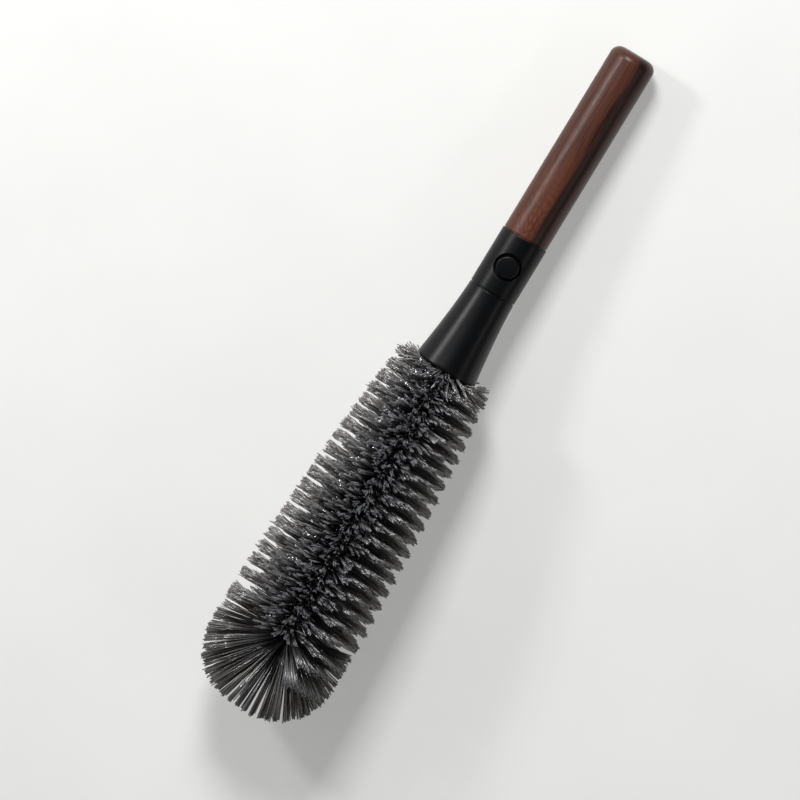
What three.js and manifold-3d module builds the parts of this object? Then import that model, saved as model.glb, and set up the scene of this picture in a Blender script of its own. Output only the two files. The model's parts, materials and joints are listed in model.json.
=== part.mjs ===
import * as THREE from 'three';
import { mergeVertices } from 'three/addons/utils/BufferGeometryUtils.js';
import Module from 'manifold-3d';

const wasm = await Module();
wasm.setup();

// Millimetres. While the brush is built, y runs from the butt to the tip, z points to the button.
const handleLength = 97;
const handleRadius = 11;
const buttRound = 4.6;
const edgeEase = 0.4;
const seam = 0.4;
const fit = 0.3;
const slideFit = 0.25;

// Collar: an outer sleeve over a socket insert whose tenon is screwed into the wood.
const collarLength = 28.5;
const collarStep = 0.35;
const sleeveWall = 1.85;
const sleeveLip = 1.5;
const tenonLength = 24;
const tenonRadius = 6;
const tenonFloor = 3.5;
const driverBore = 4.2;
const screwRadius = 1.9;
const screwHeadRadius = 3.5;
const screwHeadHeight = 2.4;
const screwPoint = 3;
const crossWidth = 0.9;
const crossDepth = 1.2;
const screwBite = 18;
const pilotRoom = 2;

// Quick-release spigot of the head with its latch groove and its key against turning.
const spigotLength = 21.5;
const noseChamfer = 1.2;
const noseRoom = 1.5;
const grooveDepth = 1;
const grooveWidth = 1.6;
const keyWidth = 2;
const keyLength = 8;
const keyHeight = 1.2;

// Release button, its spring and the wire clip that it opens.
const buttonAhead = 15;
const buttonRadius = 5.2;
const buttonProud = 0.55;
const buttonDome = 0.25;
const buttonRound = 0.8;
const buttonRoof = 1.15;
const buttonSkirt = 0.8;
const buttonTravel = 1.5;
const moatWidth = 1.2;
const moatDepth = 0.95;
const bridge = 0.95;
const tabReach = 1.2;
const tabWidth = 4;
const tabHeight = 0.8;
const springWire = 0.5;
const springTurns = 2.5;
const clipWire = 1;
const clipGapHalf = 1.7;
const clipRoom = 0.9;
const clipRise = 0.6;
const wedgeRise = 1.1;
const wedgeThickness = 1;
const wedgeTipWidth = 0.9;
const wedgeSpread = 0.4;

// Flared neck of the head and the hub that holds the wires inside it.
const neckLength = 41;
const mouthRadius = 15.4;
const neckWall = 1.8;
const neckFloor = 2.2;
const neckFlare = 1.45;
const flangeThickness = 2.2;
const hubRadius = 6;
const hubLength = 19;
const hubChamfer = 1;
const boreStop = 2;

// Twisted core of the head: one steel wire folded in two, with filaments held between its legs.
const wireRadius = 1;
const filamentPack = 1;
const lay = 13.6;
const coreReach = 139.5;
const firstHinge = 34.7;
const turnsPerSection = 2.5;

// Trimmed outline of the bristles and the strands that fill it.
const headRadiusAtMouth = 23.1;
const headRadius = 32;
const headSwell = 0.8;
const headLength = 179.7;
const strandWidth = 0.75;
const strandHeight = 0.6;
const strandsPerLay = 16;
const strandFan = 0.02;
const bowLength = 26;
const bowLean = 0.5;
const tipStrandsPerSide = 22;
const tipSwing = 1.25;
const tipRows = 9;
const bristleStart = 1;
const restFlat = 0.5;

const round = 48;
const collarRadius = handleRadius + collarStep;
const collarBack = handleLength + seam;
const collarFront = collarBack + collarLength;
const neckBack = collarFront + seam;
const mouth = neckBack + neckLength;
const buttonY = collarBack + buttonAhead;
const tip = mouth + headLength;
const capStart = tip - headRadius;
const coreEnd = mouth + coreReach;
const sleeveInner = collarRadius - sleeveWall;
const insertRadius = sleeveInner - fit;
const skirtBottom = Math.sqrt(sleeveInner ** 2 - (tabWidth / 2) ** 2) - fit - tabHeight;
const pocketFloor = skirtBottom - fit - buttonTravel;
const socketRadius = pocketFloor - bridge;
const spigotRadius = socketRadius - slideFit;
const insertFront = collarFront - sleeveLip - fit;
const tenonEnd = handleLength + fit - tenonLength;
const spigotNose = neckBack - spigotLength;
const socketFloor = spigotNose - noseRoom;
const screwSeat = tenonEnd + tenonFloor;
const channelRadius = spigotRadius + clipWire + clipRoom;
const buttonTop = collarRadius + buttonProud;
const roof = buttonTop - buttonDome - buttonRoof;
const packHalf = wireRadius + filamentPack / 2 + fit + wireRadius;
const helixRadius = filamentPack / 2 + fit + wireRadius;
const flangeBack = neckBack + neckFloor + fit;
const flangeFront = flangeBack + flangeThickness;
const boreFloor = flangeFront + boreStop;
const legEnd = coreEnd - helixRadius - wireRadius;
const ribbonEnd = legEnd - wireRadius - fit;
const sheetEnd = ribbonEnd - tipRows;
const hinges = [0, 1, 2].map((i) => mouth + firstHinge + i * turnsPerSection * lay);

const point = (r, y) => new THREE.Vector2(r, y);
const spot = (x, y, z) => new THREE.Vector3(x, y, z);

// Joins equal corners and drops triangles without area, which leaves one closed shell.
function weld(geometry) {
  geometry.deleteAttribute('normal');
  geometry.deleteAttribute('uv');
  const joined = mergeVertices(geometry, 1e-4);
  const corners = joined.index.array;
  const kept = [];
  for (let i = 0; i < corners.length; i += 3) {
    const [a, b, c] = corners.slice(i, i + 3);
    if (a !== b && b !== c && c !== a) kept.push(a, b, c);
  }
  joined.setIndex(kept);
  return joined;
}

function solidOf(geometry) {
  const shell = weld(geometry);
  const vertProperties = new Float32Array(shell.attributes.position.array);
  const triVerts = new Uint32Array(shell.index.array);
  return new wasm.Manifold(new wasm.Mesh({ numProp: 3, vertProperties, triVerts }));
}

function surfaceOf(solid) {
  const mesh = solid.getMesh();
  const geometry = new THREE.BufferGeometry();
  geometry.setAttribute('position', new THREE.BufferAttribute(new Float32Array(mesh.vertProperties), 3));
  geometry.setIndex(Array.from(mesh.triVerts));
  return geometry;
}

// A turned body about y: the outline runs up the outside and back down the inside.
function turned(outline) {
  return solidOf(new THREE.LatheGeometry(outline, round));
}

// A turned body about the button's axis, with heights measured from the brush axis.
function turnedAtButton(outline) {
  const geometry = new THREE.LatheGeometry(outline, round);
  geometry.rotateX(Math.PI / 2);
  geometry.translate(0, buttonY, 0);
  return solidOf(geometry);
}

function block(width, length, height, x, y, z) {
  const geometry = new THREE.BoxGeometry(width, length, height);
  geometry.translate(x, y, z);
  return solidOf(geometry);
}

// Quarter round from one direction to the next, about a centre in the outline plane.
function corner(r, y, radius, from, to, steps) {
  return Array.from({ length: steps + 1 }, (_, i) => {
    const angle = from + (to - from) * i / steps;
    return point(r + radius * Math.cos(angle), y + radius * Math.sin(angle));
  });
}

// Skins a row of equal rings and closes the first and the last one.
function loft(rings) {
  const sides = rings[0].length;
  const index = [];
  for (let i = 0; i + 1 < rings.length; i += 1) {
    for (let k = 0; k < sides; k += 1) {
      const a = i * sides + k;
      const b = i * sides + (k + 1) % sides;
      index.push(a, b, b + sides, a, b + sides, a + sides);
    }
  }
  const last = (rings.length - 1) * sides;
  for (let k = 1; k + 1 < sides; k += 1) {
    index.push(0, k + 1, k, last, last + k, last + k + 1);
  }
  const geometry = new THREE.BufferGeometry();
  const flat = rings.flat().flatMap((p) => [p.x, p.y, p.z]);
  geometry.setAttribute('position', new THREE.Float32BufferAttribute(flat, 3));
  geometry.setIndex(index);
  return geometry;
}

// A round bar along a path, its ring turned as little as possible from point to point.
function bar(path, radiusAt, sides) {
  const rings = [];
  let side = new THREE.Vector3();
  path.forEach((p, i) => {
    const before = path[Math.max(i - 1, 0)];
    const after = path[Math.min(i + 1, path.length - 1)];
    const along = after.clone().sub(before).normalize();
    if (i === 0) side = Math.abs(along.y) > 0.9 ? spot(1, 0, 0) : spot(0, 1, 0);
    side = side.clone().addScaledVector(along, -side.dot(along)).normalize();
    const across = along.clone().cross(side);
    const radius = radiusAt(i / (path.length - 1));
    rings.push(Array.from({ length: sides }, (_, k) => {
      const angle = 2 * Math.PI * k / sides;
      const edge = p.clone().addScaledVector(side, radius * Math.cos(angle));
      return edge.addScaledVector(across, radius * Math.sin(angle));
    }));
  });
  return loft(rings);
}

// Least distance between the surfaces of a bar's neighbouring curls, measured on its centre line.
function selfGap(path, radius, curl) {
  let least = Infinity;
  path.forEach((p, i) => {
    for (let k = i + Math.floor(curl / 2); k < path.length; k += 1) {
      least = Math.min(least, p.distanceTo(path[k]));
    }
  });
  return least - 2 * radius;
}

// Wooden grip: well rounded butt with a small flat, bore for the tenon, pilot hole for the screw.
function makeHandle() {
  const bore = tenonRadius + fit;
  const boreEnd = tenonEnd - fit;
  const pilot = screwRadius + fit;
  const pilotFloor = tenonEnd - screwBite - pilotRoom;
  return turned([
    point(0, 0),
    ...corner(handleRadius - buttRound, buttRound, buttRound, -Math.PI / 2, 0, 6),
    point(handleRadius, handleLength - edgeEase),
    point(handleRadius - edgeEase, handleLength),
    point(bore, handleLength),
    point(bore, boreEnd),
    point(pilot, boreEnd),
    point(pilot, pilotFloor),
    point(0, pilotFloor),
  ]);
}

// Socket insert: tenon with a screw floor, bore for the spigot, channel for the clip, button pocket.
function makeInsert() {
  const channelHalf = grooveWidth / 2;
  const shoulder = handleLength + fit;
  const body = turned([
    point(screwRadius + fit, tenonEnd),
    point(tenonRadius - edgeEase, tenonEnd),
    point(tenonRadius, tenonEnd + edgeEase),
    point(tenonRadius, shoulder),
    point(insertRadius, shoulder),
    point(insertRadius, insertFront),
    point(socketRadius + edgeEase, insertFront),
    point(socketRadius, insertFront - edgeEase),
    point(socketRadius, buttonY + channelHalf),
    point(channelRadius, buttonY + channelHalf),
    point(channelRadius, buttonY - channelHalf),
    point(socketRadius, buttonY - channelHalf),
    point(socketRadius, socketFloor),
    point(driverBore, socketFloor),
    point(driverBore, screwSeat),
    point(screwRadius + fit, screwSeat),
    point(screwRadius + fit, tenonEnd),
  ]);
  const pocketHeight = collarRadius;
  const pocket = turnedAtButton([
    point(0, pocketFloor),
    point(buttonRadius + fit, pocketFloor),
    point(buttonRadius + fit, pocketFloor + pocketHeight),
    point(0, pocketFloor + pocketHeight),
  ]);
  const tabRoom = block(
    tabWidth + 2 * fit,
    2 * (buttonRadius + tabReach + fit),
    pocketHeight,
    0,
    buttonY,
    pocketFloor + pocketHeight / 2,
  );
  return body.subtract(pocket).subtract(tabRoom).subtract(makeKeyRoom());
}

// Slot that the key slides in, open at the front of the collar.
function makeKeyRoom() {
  const back = neckBack - seam - keyLength - fit;
  const depth = spigotRadius + keyHeight + fit;
  const length = collarFront + 1 - back;
  return block(keyWidth + 2 * fit, length, depth, 0, back + length / 2, -depth / 2);
}

// Visible collar: a thin sleeve with a front lip and a stepped hole around the button.
function makeSleeve() {
  const lipRadius = socketRadius + edgeEase;
  const body = turned([
    point(sleeveInner, collarBack),
    point(collarRadius - edgeEase, collarBack),
    point(collarRadius, collarBack + edgeEase),
    point(collarRadius, collarFront - edgeEase),
    point(collarRadius - edgeEase, collarFront),
    point(lipRadius, collarFront),
    point(lipRadius, collarFront - sleeveLip),
    point(sleeveInner, collarFront - sleeveLip),
    point(sleeveInner, collarBack),
  ]);
  const reach = collarRadius + 2;
  const hole = turnedAtButton([
    point(0, 0),
    point(buttonRadius + fit, 0),
    point(buttonRadius + fit, reach),
    point(0, reach),
  ]);
  const moat = turnedAtButton([
    point(0, 0),
    point(buttonRadius + moatWidth, 0),
    point(buttonRadius + moatWidth, reach),
    point(0, reach),
  ]);
  const moatCore = turned([
    point(0, collarBack - 1),
    point(collarRadius - moatDepth, collarBack - 1),
    point(collarRadius - moatDepth, collarFront + 1),
    point(0, collarFront + 1),
  ]);
  return body.subtract(hole).subtract(moat.subtract(moatCore)).subtract(makeKeyRoom());
}

// Pan-head screw with a crossed recess, its shank reaching through the tenon floor into the wood.
function makeScrew() {
  const seat = screwSeat + fit;
  const top = seat + screwHeadHeight;
  const end = tenonEnd - screwBite;
  const body = turned([
    point(0, end),
    point(screwRadius, end + screwPoint),
    point(screwRadius, seat),
    point(screwHeadRadius, seat),
    point(screwHeadRadius, seat + 0.6 * screwHeadHeight),
    point(0.7 * screwHeadRadius, top),
    point(0, top),
  ]);
  const arm = 1.1 * screwHeadRadius;
  const crossA = block(arm, 2 * crossDepth, crossWidth, 0, top, 0);
  const crossB = block(crossWidth, 2 * crossDepth, arm, 0, top, 0);
  return body.subtract(crossA).subtract(crossB);
}

// Push button: a domed cup with two keeper tabs at its skirt and a wedge under its roof.
function makeButton() {
  const edge = buttonTop - buttonDome - buttonRound;
  const cup = turnedAtButton([
    point(0, roof),
    point(buttonRadius - buttonSkirt, roof),
    point(buttonRadius - buttonSkirt, skirtBottom),
    point(buttonRadius, skirtBottom),
    ...corner(buttonRadius - buttonRound, edge, buttonRound, 0, Math.PI / 2, 5),
    point(0.5 * buttonRadius, buttonTop - 0.3 * buttonDome),
    point(0, buttonTop),
  ]);
  const tabMid = buttonRadius + (tabReach - fit) / 2;
  const tabLong = tabReach + fit;
  const tabZ = skirtBottom + tabHeight / 2;
  const ahead = block(tabWidth, tabLong, tabHeight, 0, buttonY + tabMid, tabZ);
  const behind = block(tabWidth, tabLong, tabHeight, 0, buttonY - tabMid, tabZ);
  const wedgeTip = pocketFloor + wedgeRise;
  const wedgeTop = roof + buttonRoof / 2;
  const back = buttonY - wedgeThickness / 2;
  const front = buttonY + wedgeThickness / 2;
  const ring = (half, z) => [
    spot(-half, back, z),
    spot(half, back, z),
    spot(half, front, z),
    spot(-half, front, z),
  ];
  const wedge = solidOf(loft([ring(wedgeTipWidth / 2, wedgeTip), ring(clipGapHalf + wedgeSpread, wedgeTop)]));
  return cup.add(ahead).add(behind).add(wedge);
}

// Compression spring between the pocket floor and the button's roof.
function springPath() {
  const low = pocketFloor + fit + springWire / 2;
  const high = roof - fit - springWire / 2;
  const radius = buttonRadius - buttonSkirt - fit - springWire / 2;
  const steps = Math.round(springTurns * 14);
  return Array.from({ length: steps + 1 }, (_, i) => {
    const angle = 2 * Math.PI * springTurns * i / steps;
    const z = low + (high - low) * i / steps;
    return spot(radius * Math.sin(angle), buttonY + radius * Math.cos(angle), z);
  });
}

// Wire clip: most of a ring in the spigot's groove, its two ends turned up beside the wedge.
function clipPath() {
  const radius = spigotRadius - grooveDepth + fit + clipWire / 2;
  const upper = pocketFloor + clipRise;
  const ring = Array.from({ length: 21 }, (_, i) => {
    const angle = Math.PI * (0.22 + 1.56 * i / 20);
    return spot(radius * Math.sin(angle), buttonY, radius * Math.cos(angle));
  });
  const turnUp = (s) => [
    spot(s * clipGapHalf, buttonY, upper),
    spot(s * clipGapHalf, buttonY, upper - 0.8),
    spot(s * (clipGapHalf + 0.15), buttonY, upper - 1.6),
  ];
  const knots = [...turnUp(1), ...ring, ...turnUp(-1).reverse()];
  return new THREE.CatmullRomCurve3(knots).getPoints(44);
}

// Spigot: grooved plug with a key, flange inside the neck, hub with a blind bore for the wires.
function makeSpigot() {
  const grooveRadius = spigotRadius - grooveDepth;
  const half = grooveWidth / 2;
  const flangeRadius = neckRadiusAt(flangeBack) - neckWall - fit;
  const hubFront = flangeFront + hubLength;
  const bore = packHalf + fit;
  const body = turned([
    point(0, spigotNose),
    point(spigotRadius - noseChamfer, spigotNose),
    point(spigotRadius, spigotNose + noseChamfer),
    point(spigotRadius, buttonY - half - grooveDepth / 2),
    point(grooveRadius, buttonY - half),
    point(grooveRadius, buttonY + half),
    point(spigotRadius, buttonY + half),
    point(spigotRadius, flangeBack),
    point(flangeRadius, flangeBack),
    point(flangeRadius, flangeFront),
    point(hubRadius, flangeFront),
    point(hubRadius, hubFront - hubChamfer),
    point(hubRadius - hubChamfer, hubFront),
    point(bore, hubFront),
    point(bore, boreFloor),
    point(0, boreFloor),
  ]);
  const keyBack = neckBack - seam - keyLength;
  const keyDepth = spigotRadius + keyHeight;
  const keyFront = neckBack - fit;
  const key = block(
    keyWidth,
    keyFront - keyBack,
    keyDepth,
    0,
    (keyBack + keyFront) / 2,
    -keyDepth / 2,
  );
  return body.add(key);
}

// Outer radius of the neck: nearly straight at the collar, then flaring to the mouth.
function neckRadiusAt(y) {
  const t = THREE.MathUtils.clamp((y - neckBack) / neckLength, 0, 1);
  return collarRadius + (mouthRadius - collarRadius) * Math.pow(t, neckFlare);
}

// Neck shell: closed at the collar apart from the spigot's hole, open at the mouth.
function makeNeck() {
  const steps = 7;
  const rim = neckWall / 2;
  const cavity = neckBack + neckFloor;
  const end = mouth - rim;
  const heights = Array.from({ length: steps + 1 }, (_, i) => i / steps);
  const outside = heights.slice(1).map((t) => {
    const y = neckBack + edgeEase + (end - neckBack - edgeEase) * t;
    return point(neckRadiusAt(y), y);
  });
  const inside = heights.map((t) => {
    const y = end + (cavity - end) * t;
    return point(neckRadiusAt(y) - neckWall, y);
  });
  const rimMid = neckRadiusAt(end) - rim;
  return turned([
    point(spigotRadius + fit, neckBack),
    point(collarRadius - edgeEase, neckBack),
    point(collarRadius, neckBack + edgeEase),
    ...outside,
    ...corner(rimMid, end, rim, 0, Math.PI, 6).slice(1, -1),
    ...inside,
    point(spigotRadius + fit, cavity),
    point(spigotRadius + fit, neckBack),
  ]);
}

// Turn of the filament ribbon about the axis: along z at every hinge, easing off before the hairpin.
function twistAt(y) {
  const ease = lay / 2;
  const past = THREE.MathUtils.clamp(y - (legEnd - ease), 0, ease);
  return 2 * Math.PI * (y - hinges[0] - past * past / (2 * ease)) / lay;
}

// Twisted pair as one wire: up one leg, round the hairpin at the end and back down the other leg.
function wirePath() {
  const root = boreFloor + fit + wireRadius;
  const stepsPerLay = 8;
  const steps = Math.round((legEnd - root) / lay * stepsPerLay);
  const angleAt = (y) => twistAt(y) + Math.PI / 2;
  const leg = Array.from({ length: steps + 1 }, (_, i) => {
    const y = root + (legEnd - root) * i / steps;
    const angle = angleAt(y);
    return spot(helixRadius * Math.sin(angle), y, helixRadius * Math.cos(angle));
  });
  const last = angleAt(legEnd);
  const bend = Array.from({ length: 7 }, (_, i) => {
    const turn = Math.PI * (i + 1) / 8;
    const out = helixRadius * Math.cos(turn);
    return spot(out * Math.sin(last), legEnd + helixRadius * Math.sin(turn), out * Math.cos(last));
  });
  const back = leg.map((p) => spot(-p.x, p.y, -p.z)).reverse();
  return [...leg, ...bend, ...back];
}

// Trimmed radius of the bristles: swelling from the mouth, then a half ball at the tip.
function bristleRadiusAt(y) {
  if (y >= tip) return 0;
  if (y > capStart) return Math.sqrt(headRadius ** 2 - (y - capStart) ** 2);
  const t = (y - mouth) / (capStart - mouth);
  return headRadiusAtMouth + (headRadius - headRadiusAtMouth) * t * (1 + headSwell * (1 - t));
}

// Distance along a ray at which it leaves the trimmed outline.
function trimLength(from, direction) {
  let low = 0;
  let high = 2 * headRadius;
  for (let i = 0; i < 40; i += 1) {
    const middle = (low + high) / 2;
    const p = from.clone().addScaledVector(direction, middle);
    if (Math.hypot(p.x, p.z) < bristleRadiusAt(p.y)) low = middle;
    else high = middle;
  }
  return low;
}

// Directions of the ribbon at a height: out along its width, thick through its thickness.
function ribbonAxes(y) {
  const angle = twistAt(y);
  const out = spot(Math.sin(angle), 0, Math.cos(angle));
  const thick = spot(Math.cos(angle), 0, -Math.sin(angle));
  return { out, thick };
}

// Strands of the twisted sheets: straight out, a little forward or back, leaning over near the tip.
function sheetDirection(y, side, i) {
  const { out } = ribbonAxes(y);
  const bow = Math.max(0, (y - (sheetEnd - bowLength)) / bowLength);
  const lean = bowLean * bow * bow + strandFan * ((i % 3) - 1);
  return out.multiplyScalar(side * Math.cos(lean)).setY(Math.sin(lean));
}

// Strands that fan over the end: a quarter ball from each edge, rising row by row to the axis.
function tipDirection(y, side, i) {
  const { out, thick } = ribbonAxes(y);
  const rise = 0.45 + 0.52 * i / (tipStrandsPerSide - 1);
  const flat = Math.sqrt(1 - rise * rise);
  const swing = tipSwing * (2 * ((i * 0.618034 + (side > 0 ? 0 : 0.31)) % 1) - 1);
  const direction = out.multiplyScalar(side * flat * Math.cos(swing));
  return direction.addScaledVector(thick, flat * Math.sin(swing)).setY(rise);
}

// A slice of the filament ribbon whose edges are drawn out into strands, one every second step.
function bristleSection(rows) {
  const corners = [];
  const index = [];
  const signs = [[1, -1], [1, 1], [-1, 1], [-1, -1]];
  const add = (p) => corners.push(p.x, p.y, p.z) / 3 - 1;
  const quad = (a, b, c, d) => index.push(a, b, c, a, c, d);
  const rings = rows.map(({ y }) => {
    const { out, thick } = ribbonAxes(y);
    return signs.map(([a, b]) => add(spot(0, y, 0)
      .addScaledVector(out, a * packHalf)
      .addScaledVector(thick, b * filamentPack / 2)));
  });
  const drawOut = (loop, y, side, direction) => {
    const { out, thick } = ribbonAxes(y);
    const root = spot(0, y, 0).addScaledVector(out, side * packHalf);
    const end = root.clone().addScaledVector(direction, trimLength(root, direction));
    const wide = thick.addScaledVector(direction, -thick.dot(direction)).normalize();
    const high = wide.clone().cross(direction).multiplyScalar(-side);
    const tips = [[-1, -1], [1, -1], [1, 1], [-1, 1]].map(([a, b]) => add(end.clone()
      .addScaledVector(wide, side * a * strandWidth / 2)
      .addScaledVector(high, b * strandHeight / 2)));
    loop.forEach((p, k) => quad(p, loop[(k + 1) % 4], tips[(k + 1) % 4], tips[k]));
    quad(...tips);
  };
  for (let i = 0; i + 1 < rows.length; i += 1) {
    const low = rings[i];
    const high = rings[i + 1];
    const y = (rows[i].y + rows[i + 1].y) / 2;
    low.forEach((a, k) => {
      const loop = [a, low[(k + 1) % 4], high[(k + 1) % 4], high[k]];
      const side = k === 0 ? 1 : -1;
      if (rows[i].strand && k % 2 === 0) drawOut(loop, y, side, rows[i].strand(y, side));
      else quad(...loop);
    });
  }
  const first = rings[0];
  const last = rings[rings.length - 1];
  quad(first[3], first[2], first[1], first[0]);
  quad(...last);
  const geometry = new THREE.BufferGeometry();
  geometry.setAttribute('position', new THREE.Float32BufferAttribute(corners, 3));
  geometry.setIndex(index);
  return solidOf(geometry);
}

// Heights of a slice's steps, with a strand on every second one.
function stepRows(from, to, count, direction) {
  const pace = (to - from) / count;
  return Array.from({ length: count }, (_, i) => [
    { y: from + pace * (i + 0.25), strand: (y, side) => direction(y, side, i) },
    { y: from + pace * (i + 0.75) },
  ]).flat();
}

// Rest: the brush lies on the butt's lower edge and on the bristles, cut flat where they bear.
function restTilt() {
  const centreRadius = handleRadius - buttRound;
  let tilt = 0;
  for (let i = 0; i <= 80; i += 1) {
    const y = mouth + (capStart - mouth) * i / 80;
    const rise = bristleRadiusAt(y) - restFlat - centreRadius;
    const run = y - buttRound;
    tilt = Math.max(tilt, Math.atan2(rise, run) - Math.asin(buttRound / Math.hypot(rise, run)));
  }
  return tilt;
}

const tilt = restTilt();
const axisHeight = buttRound + (handleRadius - buttRound) * Math.cos(tilt) - buttRound * Math.sin(tilt);
const layDown = new THREE.Matrix4()
  .makeTranslation(0, 0, axisHeight)
  .multiply(new THREE.Matrix4().makeRotationY(-tilt))
  .multiply(new THREE.Matrix4().makeRotationZ(-Math.PI / 2));

function underFloor() {
  const depth = 2 * headRadius;
  const geometry = new THREE.BoxGeometry(3 * tip, 4 * headRadius, depth);
  geometry.translate(0, 0, -depth / 2);
  geometry.applyMatrix4(layDown.clone().invert());
  return solidOf(geometry);
}

function makeBristles() {
  const floor = underFloor();
  const ends = [mouth + bristleStart, ...hinges, sheetEnd];
  return ends.slice(1).map((to, i) => {
    const from = ends[i];
    const count = Math.round((to - from) / lay * strandsPerLay);
    const rows = stepRows(from, to, count, sheetDirection);
    if (i === hinges.length) rows.push(...stepRows(to, ribbonEnd, tipStrandsPerSide, tipDirection));
    return bristleSection(rows).subtract(floor);
  });
}

const springCentres = springPath();
const wireCentres = wirePath();
const bristles = makeBristles();

const wood = { color: 0x563229, roughness: 0.42, metalness: 0 };
const satinBlack = { color: 0x1d1f22, roughness: 0.5, metalness: 0 };
const glossBlack = { color: 0x141619, roughness: 0.3, metalness: 0 };
const innerBlack = { color: 0x2a2c2f, roughness: 0.55, metalness: 0 };
const steel = { color: 0xa4a7ab, roughness: 0.32, metalness: 1 };
const filament = { color: 0x45423f, roughness: 0.45, metalness: 0 };

const pieces = [
  ['handle', makeHandle(), wood],
  ['socket_insert', makeInsert(), innerBlack],
  ['collar_sleeve', makeSleeve(), satinBlack],
  ['handle_screw', makeScrew(), steel],
  ['release_button', makeButton(), satinBlack],
  ['button_spring', solidOf(bar(springCentres, () => springWire / 2, 5)), steel],
  ['latch_clip', solidOf(bar(clipPath(), () => clipWire / 2, 5)), steel],
  ['spigot', makeSpigot(), innerBlack],
  ['neck_shell', makeNeck(), glossBlack],
  ['core_wire', solidOf(bar(wireCentres, () => wireRadius, 5)), steel],
  ...bristles.map((solid, i) => [`bristles_${i + 1}`, solid, filament]),
];

const brush = new THREE.Group();
brush.name = 'bottle_brush';
for (const [name, solid, look] of pieces) {
  const geometry = surfaceOf(solid);
  geometry.applyMatrix4(layDown);
  const mesh = new THREE.Mesh(geometry, new THREE.MeshStandardMaterial(look));
  mesh.name = name;
  brush.add(mesh);
}

// The origin sits on the floor, under the brush axis and midway along the brush.
const box = new THREE.Box3().setFromObject(brush);
const origin = spot((box.min.x + box.max.x) / 2, 0, box.min.z);
for (const mesh of brush.children) {
  mesh.geometry.translate(-origin.x, -origin.y, -origin.z);
  mesh.geometry.computeVertexNormals();
}

const placed = (x, y, z) => spot(x, y, z)
  .applyMatrix4(layDown)
  .sub(origin)
  .toArray()
  .map((v) => v.toFixed(6));
console.log('rest tilt in degrees', THREE.MathUtils.radToDeg(tilt).toFixed(9));
console.log('butt centre', placed(0, 0, 0));
console.log('button top', placed(0, buttonY, buttonTop));
console.log('collar front on the axis', placed(0, collarFront, 0));
hinges.forEach((y, i) => console.log(`core hinge ${i + 1}`, placed(0, y, 0)));
console.log('spring gap to itself', selfGap(springCentres, springWire / 2, 14).toFixed(3));
console.log('wire gap to itself', selfGap(wireCentres, wireRadius, 16).toFixed(3));

export default brush;
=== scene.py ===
import json
import math

import bmesh
import bpy
import numpy as np
from mathutils import Matrix, Vector


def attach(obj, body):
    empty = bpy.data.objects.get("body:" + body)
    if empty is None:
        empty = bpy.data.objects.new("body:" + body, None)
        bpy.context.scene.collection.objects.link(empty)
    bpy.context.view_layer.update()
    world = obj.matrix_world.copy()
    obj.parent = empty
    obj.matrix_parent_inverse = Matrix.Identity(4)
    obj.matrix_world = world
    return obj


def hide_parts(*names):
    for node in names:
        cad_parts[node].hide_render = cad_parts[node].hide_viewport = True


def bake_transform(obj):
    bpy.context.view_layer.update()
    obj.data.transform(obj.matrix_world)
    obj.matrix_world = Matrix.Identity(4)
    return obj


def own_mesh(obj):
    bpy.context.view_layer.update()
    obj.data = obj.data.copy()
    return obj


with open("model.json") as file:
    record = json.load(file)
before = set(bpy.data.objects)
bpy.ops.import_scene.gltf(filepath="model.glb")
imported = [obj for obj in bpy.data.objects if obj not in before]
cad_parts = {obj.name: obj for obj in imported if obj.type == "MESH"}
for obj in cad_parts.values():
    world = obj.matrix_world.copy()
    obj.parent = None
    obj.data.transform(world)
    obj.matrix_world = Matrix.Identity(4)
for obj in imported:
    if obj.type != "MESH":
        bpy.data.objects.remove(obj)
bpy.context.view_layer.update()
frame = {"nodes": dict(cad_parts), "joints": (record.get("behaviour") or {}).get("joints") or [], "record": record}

print("frame loaded with", len(frame["nodes"]), "CAD nodes")

# Brush frame in millimetres: x sideways, y from the butt to the tip, z towards the button.
millimetre = 0.001  # in metres
joints = {joint["name"]: joint for joint in frame["joints"]}
buttFace = frame["record"]["mounts"][0]
buttSpot = np.array(buttFace["pos_m"])
alongAxis = -np.array(buttFace["axis"])
upAxis = -np.array(joints["button_press"]["axis"])
sideAxis = np.cross(alongAxis, upAxis)
brushAxes = np.stack([sideAxis, alongAxis, upAxis])
restTilt = math.atan2(alongAxis[2], alongAxis[0])


# A brush point is carried to the row frame along the three brush axes, from millimetres to metres.
def toRow(points):
    return buttSpot + millimetre * np.asarray(points, float) @ brushAxes


def axisPoint(height):
    return toRow([0, height, 0])


def heightOf(spot):
    return float((np.array(spot) - buttSpot) @ alongAxis) / millimetre


hingeHeights = [heightOf(joints[name]["pos_m"]) for name in ("bend_1", "bend_2", "bend_3")]


# Cells of a grid of rows by columns as quads; where asked, the last column joins the first.
def gridFaces(rows, columns, closed=True):
    row, column = np.meshgrid(
        np.arange(rows - 1), np.arange(columns if closed else columns - 1), indexing="ij")
    near = row * columns + column
    far = row * columns + (column + 1) % columns
    return np.stack([near, far, far + columns, near + columns], axis=-1).reshape(-1, 4)


# Several point grids with their faces are put one behind the other, and the face numbers follow.
def joinGrids(grids):
    points = np.concatenate([grid[0].reshape(-1, 3) for grid in grids])
    starts = np.cumsum([0] + [grid[0].size // 3 for grid in grids[:-1]])
    faces = np.concatenate([grid[1] + start for grid, start in zip(grids, starts)])
    return points, faces


mergeDistance = 2e-6  # metres between doubles at seams and poles
sliverLength = 1e-7  # metres, below which an edge is dissolved


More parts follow.
